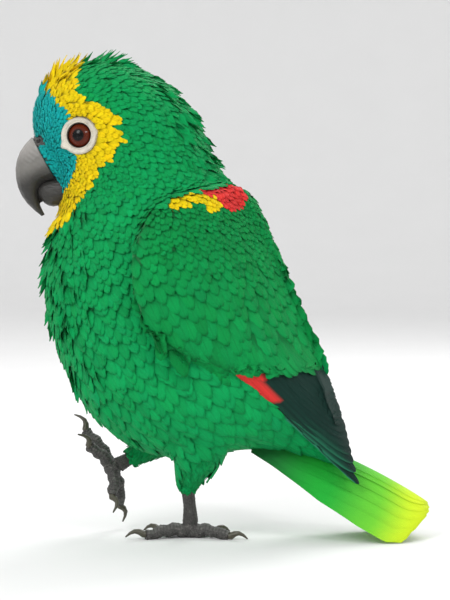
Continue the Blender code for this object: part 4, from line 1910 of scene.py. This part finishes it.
def eye_ring(side):
    """The bare ring with its wrinkles, its corners and the lids' edge."""
    whole = bmesh.new()
    verts = [whole.verts.new((radius * MM, 0, out * MM)) for radius, out in RING_PROFILE]
    for index, vertex in enumerate(verts):
        whole.edges.new((verts[index - 1], vertex))
    spin_round(whole, RING_STEPS)
    for vertex in whole.verts:
        wide = math.hypot(vertex.co.x, vertex.co.y) / MM
        angle = math.atan2(vertex.co.x, vertex.co.y)
        outer = smooth_step(8.6, 10.6, wide)
        inner = smooth_step(8.4, 7.2, wide)
        close = corner_reach(angle)
        stretch = 1 + CORNER_REACH / RING_OUTLINE * close * outer + 0.025 * close * inner
        vertex.co.x *= stretch
        vertex.co.y *= stretch
        vertex.co.z -= 0.5 * MM * close * outer
        shown = smooth_step(5.0, 6.2, vertex.co.z / MM) * smooth_step(11.3, 10.0, wide)
        wrinkle = noise.noise(Vector((angle * 9, wide * 0.9, side)))
        wrinkle += 0.9 * math.sin(wide * 5.2 + 1.5 * noise.noise(Vector((angle * 2, 0, 3))))
        vertex.co.z += 0.15 * MM * wrinkle * shown
    bmesh.ops.recalc_face_normals(whole, faces=whole.faces)
    bmesh.ops.subdivide_edges(whole, edges=whole.edges, cuts=1, use_grid_fill=True, smooth=0.6)
    lid = whole.verts.layers.float.new("Lid")
    for vertex in whole.verts:
        vertex[lid] = smooth_step(7.55, 7.2, math.hypot(vertex.co.x, vertex.co.y) / MM)
    bmesh.ops.transform(whole, matrix=eye_matrix(side), verts=whole.verts)
    return mesh_of(whole)


def eye_material():
    """Black pupil, streaked brown iris and a dark outer rim, under gloss."""
    bare = bpy.context.scene.parrot_bare
    material, wiring, sockets = new_material(
        "eye_glass", 0.3, Coat_Weight=0.28, Coat_Roughness=0.02, Specular_IOR_Level=0.05
    )
    gaze = wiring.place("ShaderNodeUVMap", uv_map="Gaze").outputs["UV"]
    long = wiring.place("ShaderNodeVectorMath", operation="LENGTH")
    wiring.feed(long.inputs[0], gaze)
    wide = long.outputs["Value"]
    x, y, _ = wiring.split(gaze)
    angle = wiring.math("ARCTAN2", y, x)
    spokes = wiring.place("ShaderNodeCombineXYZ")
    wiring.feed(spokes.inputs[0], wiring.math("MULTIPLY", angle, 9.0))
    wiring.feed(spokes.inputs[1], wiring.math("MULTIPLY", wide, 3.0))
    streak = wiring.noise(spokes.outputs[0], 3.0, 4.0, 0.65)
    dark = shaded(bare.iris, 0.35)
    iris = wiring.mix(wiring.step(streak, 0.35, 0.7), bare.iris, shaded(bare.iris, 1.35))
    inner = wiring.step(wide, 0.5, 0.38)
    iris = wiring.mix(wiring.math("MULTIPLY", inner, 0.6), iris, dark)
    rim = wiring.step(wide, 0.66, 0.80)
    iris = wiring.mix(rim, iris, dark)
    pupil = wiring.step(wide, 0.392, 0.375)
    colour = wiring.mix(pupil, iris, (0.002, 0.002, 0.002))
    wiring.feed(sockets["Base Color"], colour)
    return material


def ring_material():
    """Pale bare skin with fine folds, blotches and a dark lid edge."""
    bare = bpy.context.scene.parrot_bare
    material, wiring, sockets = new_material("ring_skin", 0.5, Specular_IOR_Level=0.3)
    place = wiring.place_of()
    marks = wiring.group(
        scale_group(), Place=place, Tint=opaque(bare.eye_ring), Scale=1500.0, Dryness=0.2
    )
    blotch = wiring.noise(place, 320.0, 3.0, 0.6)
    colour = wiring.mix(0.85, marks["Colour"], bare.eye_ring)
    blotched = wiring.math("MULTIPLY", wiring.step(blotch, 0.4, 0.75), 0.55)
    colour = wiring.mix(blotched, colour, shaded(bare.eye_ring, 0.6))
    lid = wiring.math("MULTIPLY", wiring.attribute("Lid")["Fac"], 0.9)
    colour = wiring.mix(lid, colour, shaded(bare.eye_ring, 0.08))
    wiring.feed(sockets["Base Color"], colour)
    add_bump(wiring, sockets, marks["Height"], 0.03)
    return material


class PARROT_OT_eyes(bpy.types.Operator):
    """Set both eyes in their bare rings"""

    bl_idname = "parrot.eyes"
    bl_label = "Eyes"

    def execute(self, context):
        glass = eye_material()
        skin = ring_material()
        for side, name in SIDE_NAMES.items():
            add_piece("eyeball_" + name, eyeball(side), glass, ["eye_" + name])
            add_piece("lids_" + name, eye_ring(side), skin, ["eye_ring_" + name])
        return {"FINISHED"}


def claw_roots(side):
    """(middle of a claw's root, the way it points) for each claw of a foot."""
    roots = []
    for number in range(1, 5):
        points = points_of(NODES[f"claw_{SIDE_NAMES[side]}_{number}"].data)
        far = np.linalg.norm(points - np.array(FOOT_HUBS[side]), axis=1)
        nearest = points[np.argsort(far)[: len(points) // 5]]
        root = Vector(nearest.mean(axis=0))
        roots.append((root, (Vector(points.mean(axis=0)) - root).normalized()))
    return roots


def leg_mark(point, normal, hub, back, claws):
    """(height, share of broad plates, share of groove, which carries painted shade) at a place of
    a leg.
    """
    away = point - hub
    far = away.length / MM
    toe = smooth_step(5.0, 7.0, far) * smooth_step(0.75, 0.6, abs(away.normalized().dot(back)))
    plates = toe * smooth_step(0.0, 0.4, normal.dot(back))
    share = (far / PLATE_LENGTH) % 1.0
    plate = 1 - abs(2 * share - 1) ** 5
    cells = noise.voronoi(point * 620)[0]
    grain = min((cells[1] - cells[0]) * 2.4, 1.0)
    height = 0.4 * (plate - 0.6) * plates + 0.26 * (grain - 0.5) * (1 - plates)
    # Soft pads swell under each toe's joints.
    under = toe * smooth_step(-0.1, -0.6, normal.dot(back))
    height += 0.5 * under * math.cos(2 * math.pi * far / PAD_LENGTH)
    # A toe narrows to its claw and laps a little over the claw's root.
    for root, direction in claws:
        close = math.exp(-(((point - root).length / MM / 2.2) ** 2))
        along = normal.dot(direction)
        height += close * (0.45 * max(along, 0.0) - 0.9 * (1 - abs(along)))
    # The soles stay level on the floor.
    height *= smooth_step(0.2, 1.2, point.z / MM)
    return height * MM, plates, plates * smooth_step(0.75, 0.2, plate)


def scaled_leg(side, names):
    """A leg with its foot, scaled, and its plates marked for the material."""
    leg = remeshed(names, voxel=0.38, smoothing=3, grow=0.15)
    claws = claw_roots(side)
    points = points_of(leg)
    normals = normals_of(leg)
    marks = np.array(
        [
            leg_mark(Vector(p), Vector(n), FOOT_HUBS[side], FOOT_BACKS[side], claws)
            for p, n in zip(points, normals)
        ]
    )
    points += normals * marks[:, :1]
    points[:, 2] = np.maximum(points[:, 2], 0.0)
    set_points(leg, points)
    for name, values in (("Plates", marks[:, 1]), ("Grooves", marks[:, 2])):
        layer = leg.attributes.new(name, "FLOAT", "POINT")
        layer.data.foreach_set("value", values.astype(np.float32))
    return leg


class PARROT_OT_legs(bpy.types.Operator):
    """Scale the legs and feet and shape their claws"""

    bl_idname = "parrot.legs"
    bl_label = "Legs and claws"

    def execute(self, context):
        bare = context.scene.parrot_bare
        scales = scale_material("foot_scales", bare.foot, scale=1100.0, dryness=0.5, relief=0.1)
        claw = horn_material(
            "claw_horn", 0.34, lambda *_: opaque(bare.claw), layers=700.0, relief=0.06
        )
        for side, name in SIDE_NAMES.items():
            names = ["tarsus_" + name, "foot_" + name]
            add_piece("leg_" + name, scaled_leg(side, names), scales, names)
            for number in range(1, 5):
                node = f"claw_{name}_{number}"
                mesh = remeshed([node], voxel=0.24, smoothing=2, grow=0.12)
                add_piece(f"nail_{name}_{number}", mesh, claw, [node])
        return {"FINISHED"}


# ----------------------------------------------------------------------- stage


def add_light(name, place, aim, size, power):
    light = bpy.data.lights.new(name, "AREA")
    light.shape = "DISK"
    light.size = size
    light.energy = power
    lamp = new_object(name, light)
    lamp.location = place
    lamp.rotation_euler = (aim - Vector(place)).to_track_quat("-Z", "Y").to_euler()


def backdrop():
    """A round floor that curves up into a low wall all round."""
    whole = bmesh.new()
    corners = ((0, 0, 0), (STAGE_RADIUS, 0, 0), (STAGE_RADIUS, 0, STAGE_WALL))
    verts = [whole.verts.new(corner) for corner in corners]
    whole.edges.new(verts[:2])
    whole.edges.new(verts[1:])
    bmesh.ops.bevel(
        whole,
        geom=[verts[1]],
        offset=STAGE_CURVE,
        segments=12,
        profile=0.5,
        affect="VERTICES",
        material=-1,
    )
    spin_round(whole, STAGE_STEPS)
    bmesh.ops.remove_doubles(whole, verts=whole.verts, dist=1e-5)
    for face in whole.faces:
        inward = Vector((-face.calc_center_median().x, -face.calc_center_median().y, 1))
        if face.normal.dot(inward) < 0:
            face.normal_flip()
    return mesh_of(whole, "backdrop")


class PARROT_OT_stage(bpy.types.Operator):
    """Set the floor, the lights and the camera"""

    bl_idname = "parrot.stage"
    bl_label = "Stage"

    def execute(self, context):
        stage = context.scene.parrot_stage
        material, wiring, sockets = new_material("backdrop_paper", 0.85)
        grain = wiring.noise(wiring.place_of(), 14.0, 2.0)
        darker = shaded(stage.floor, 0.97)
        wiring.feed(sockets["Base Color"], wiring.mix(grain, stage.floor, darker))
        mesh = backdrop()
        mesh.materials.append(material)
        mesh.shade_smooth()
        floor = new_object("backdrop", mesh)

        world = bpy.data.worlds.new("studio")
        world.use_nodes = True
        background = world.node_tree.nodes["Background"]
        background.inputs["Color"].default_value = (1.0, 1.0, 1.0, 1.0)
        background.inputs["Strength"].default_value = ROOM_LIGHT
        context.scene.world = world
        low, high = CAD_BOX
        middle = (low + high) / 2
        for name, place, size, power in LIGHTS:
            add_light(name, place, middle, size, power)

        camera = bpy.data.cameras.new("camera")
        camera.lens = stage.lens
        camera.sensor_width = SENSOR_WIDTH
        camera.dof.use_dof = False
        eye = new_object("camera", camera)
        half_angle = math.atan(camera.sensor_width / 2 / camera.lens)
        distance = stage.view_height / 2 / math.tan(half_angle)
        back = Vector((0, -math.cos(stage.elevation), math.sin(stage.elevation)))
        eye.location = middle + back * distance
        eye.rotation_euler = (-back).to_track_quat("-Z", "Y").to_euler()
        context.scene.camera = eye
        context.scene.view_settings.view_transform = "Standard"
        return {"FINISHED"}


class PARROT_PT_panel(bpy.types.Panel):
    """Buttons for the bird's pieces, in the order they are made"""

    bl_label = "Parrot"
    bl_idname = "PARROT_PT_panel"
    bl_space_type = "VIEW_3D"
    bl_region_type = "UI"
    bl_category = "Parrot"

    def draw(self, context):
        for operator in OPERATORS:
            self.layout.operator(operator.bl_idname)


OPERATORS = (
    PARROT_OT_skin,
    PARROT_OT_head_coat,
    PARROT_OT_body_coat,
    PARROT_OT_thigh_coat,
    PARROT_OT_wing_coat,
    PARROT_OT_flights,
    PARROT_OT_tail,
    PARROT_OT_bill,
    PARROT_OT_eyes,
    PARROT_OT_legs,
    PARROT_OT_stage,
)
SETTINGS = (PlumageSettings, BareSettings, StageSettings)


def register():
    for group in SETTINGS + OPERATORS + (PARROT_PT_panel,):
        bpy.utils.register_class(group)
    bpy.types.Scene.parrot_plumage = PointerProperty(type=PlumageSettings)
    bpy.types.Scene.parrot_bare = PointerProperty(type=BareSettings)
    bpy.types.Scene.parrot_stage = PointerProperty(type=StageSettings)


def unregister():
    del bpy.types.Scene.parrot_stage
    del bpy.types.Scene.parrot_bare
    del bpy.types.Scene.parrot_plumage
    for group in (PARROT_PT_panel,) + OPERATORS[::-1] + SETTINGS[::-1]:
        bpy.utils.unregister_class(group)


def main():
    register()
    for operator in OPERATORS:
        group, name = operator.bl_idname.split(".")
        getattr(getattr(bpy.ops, group), name)()


if __name__ == "__main__":
    main()
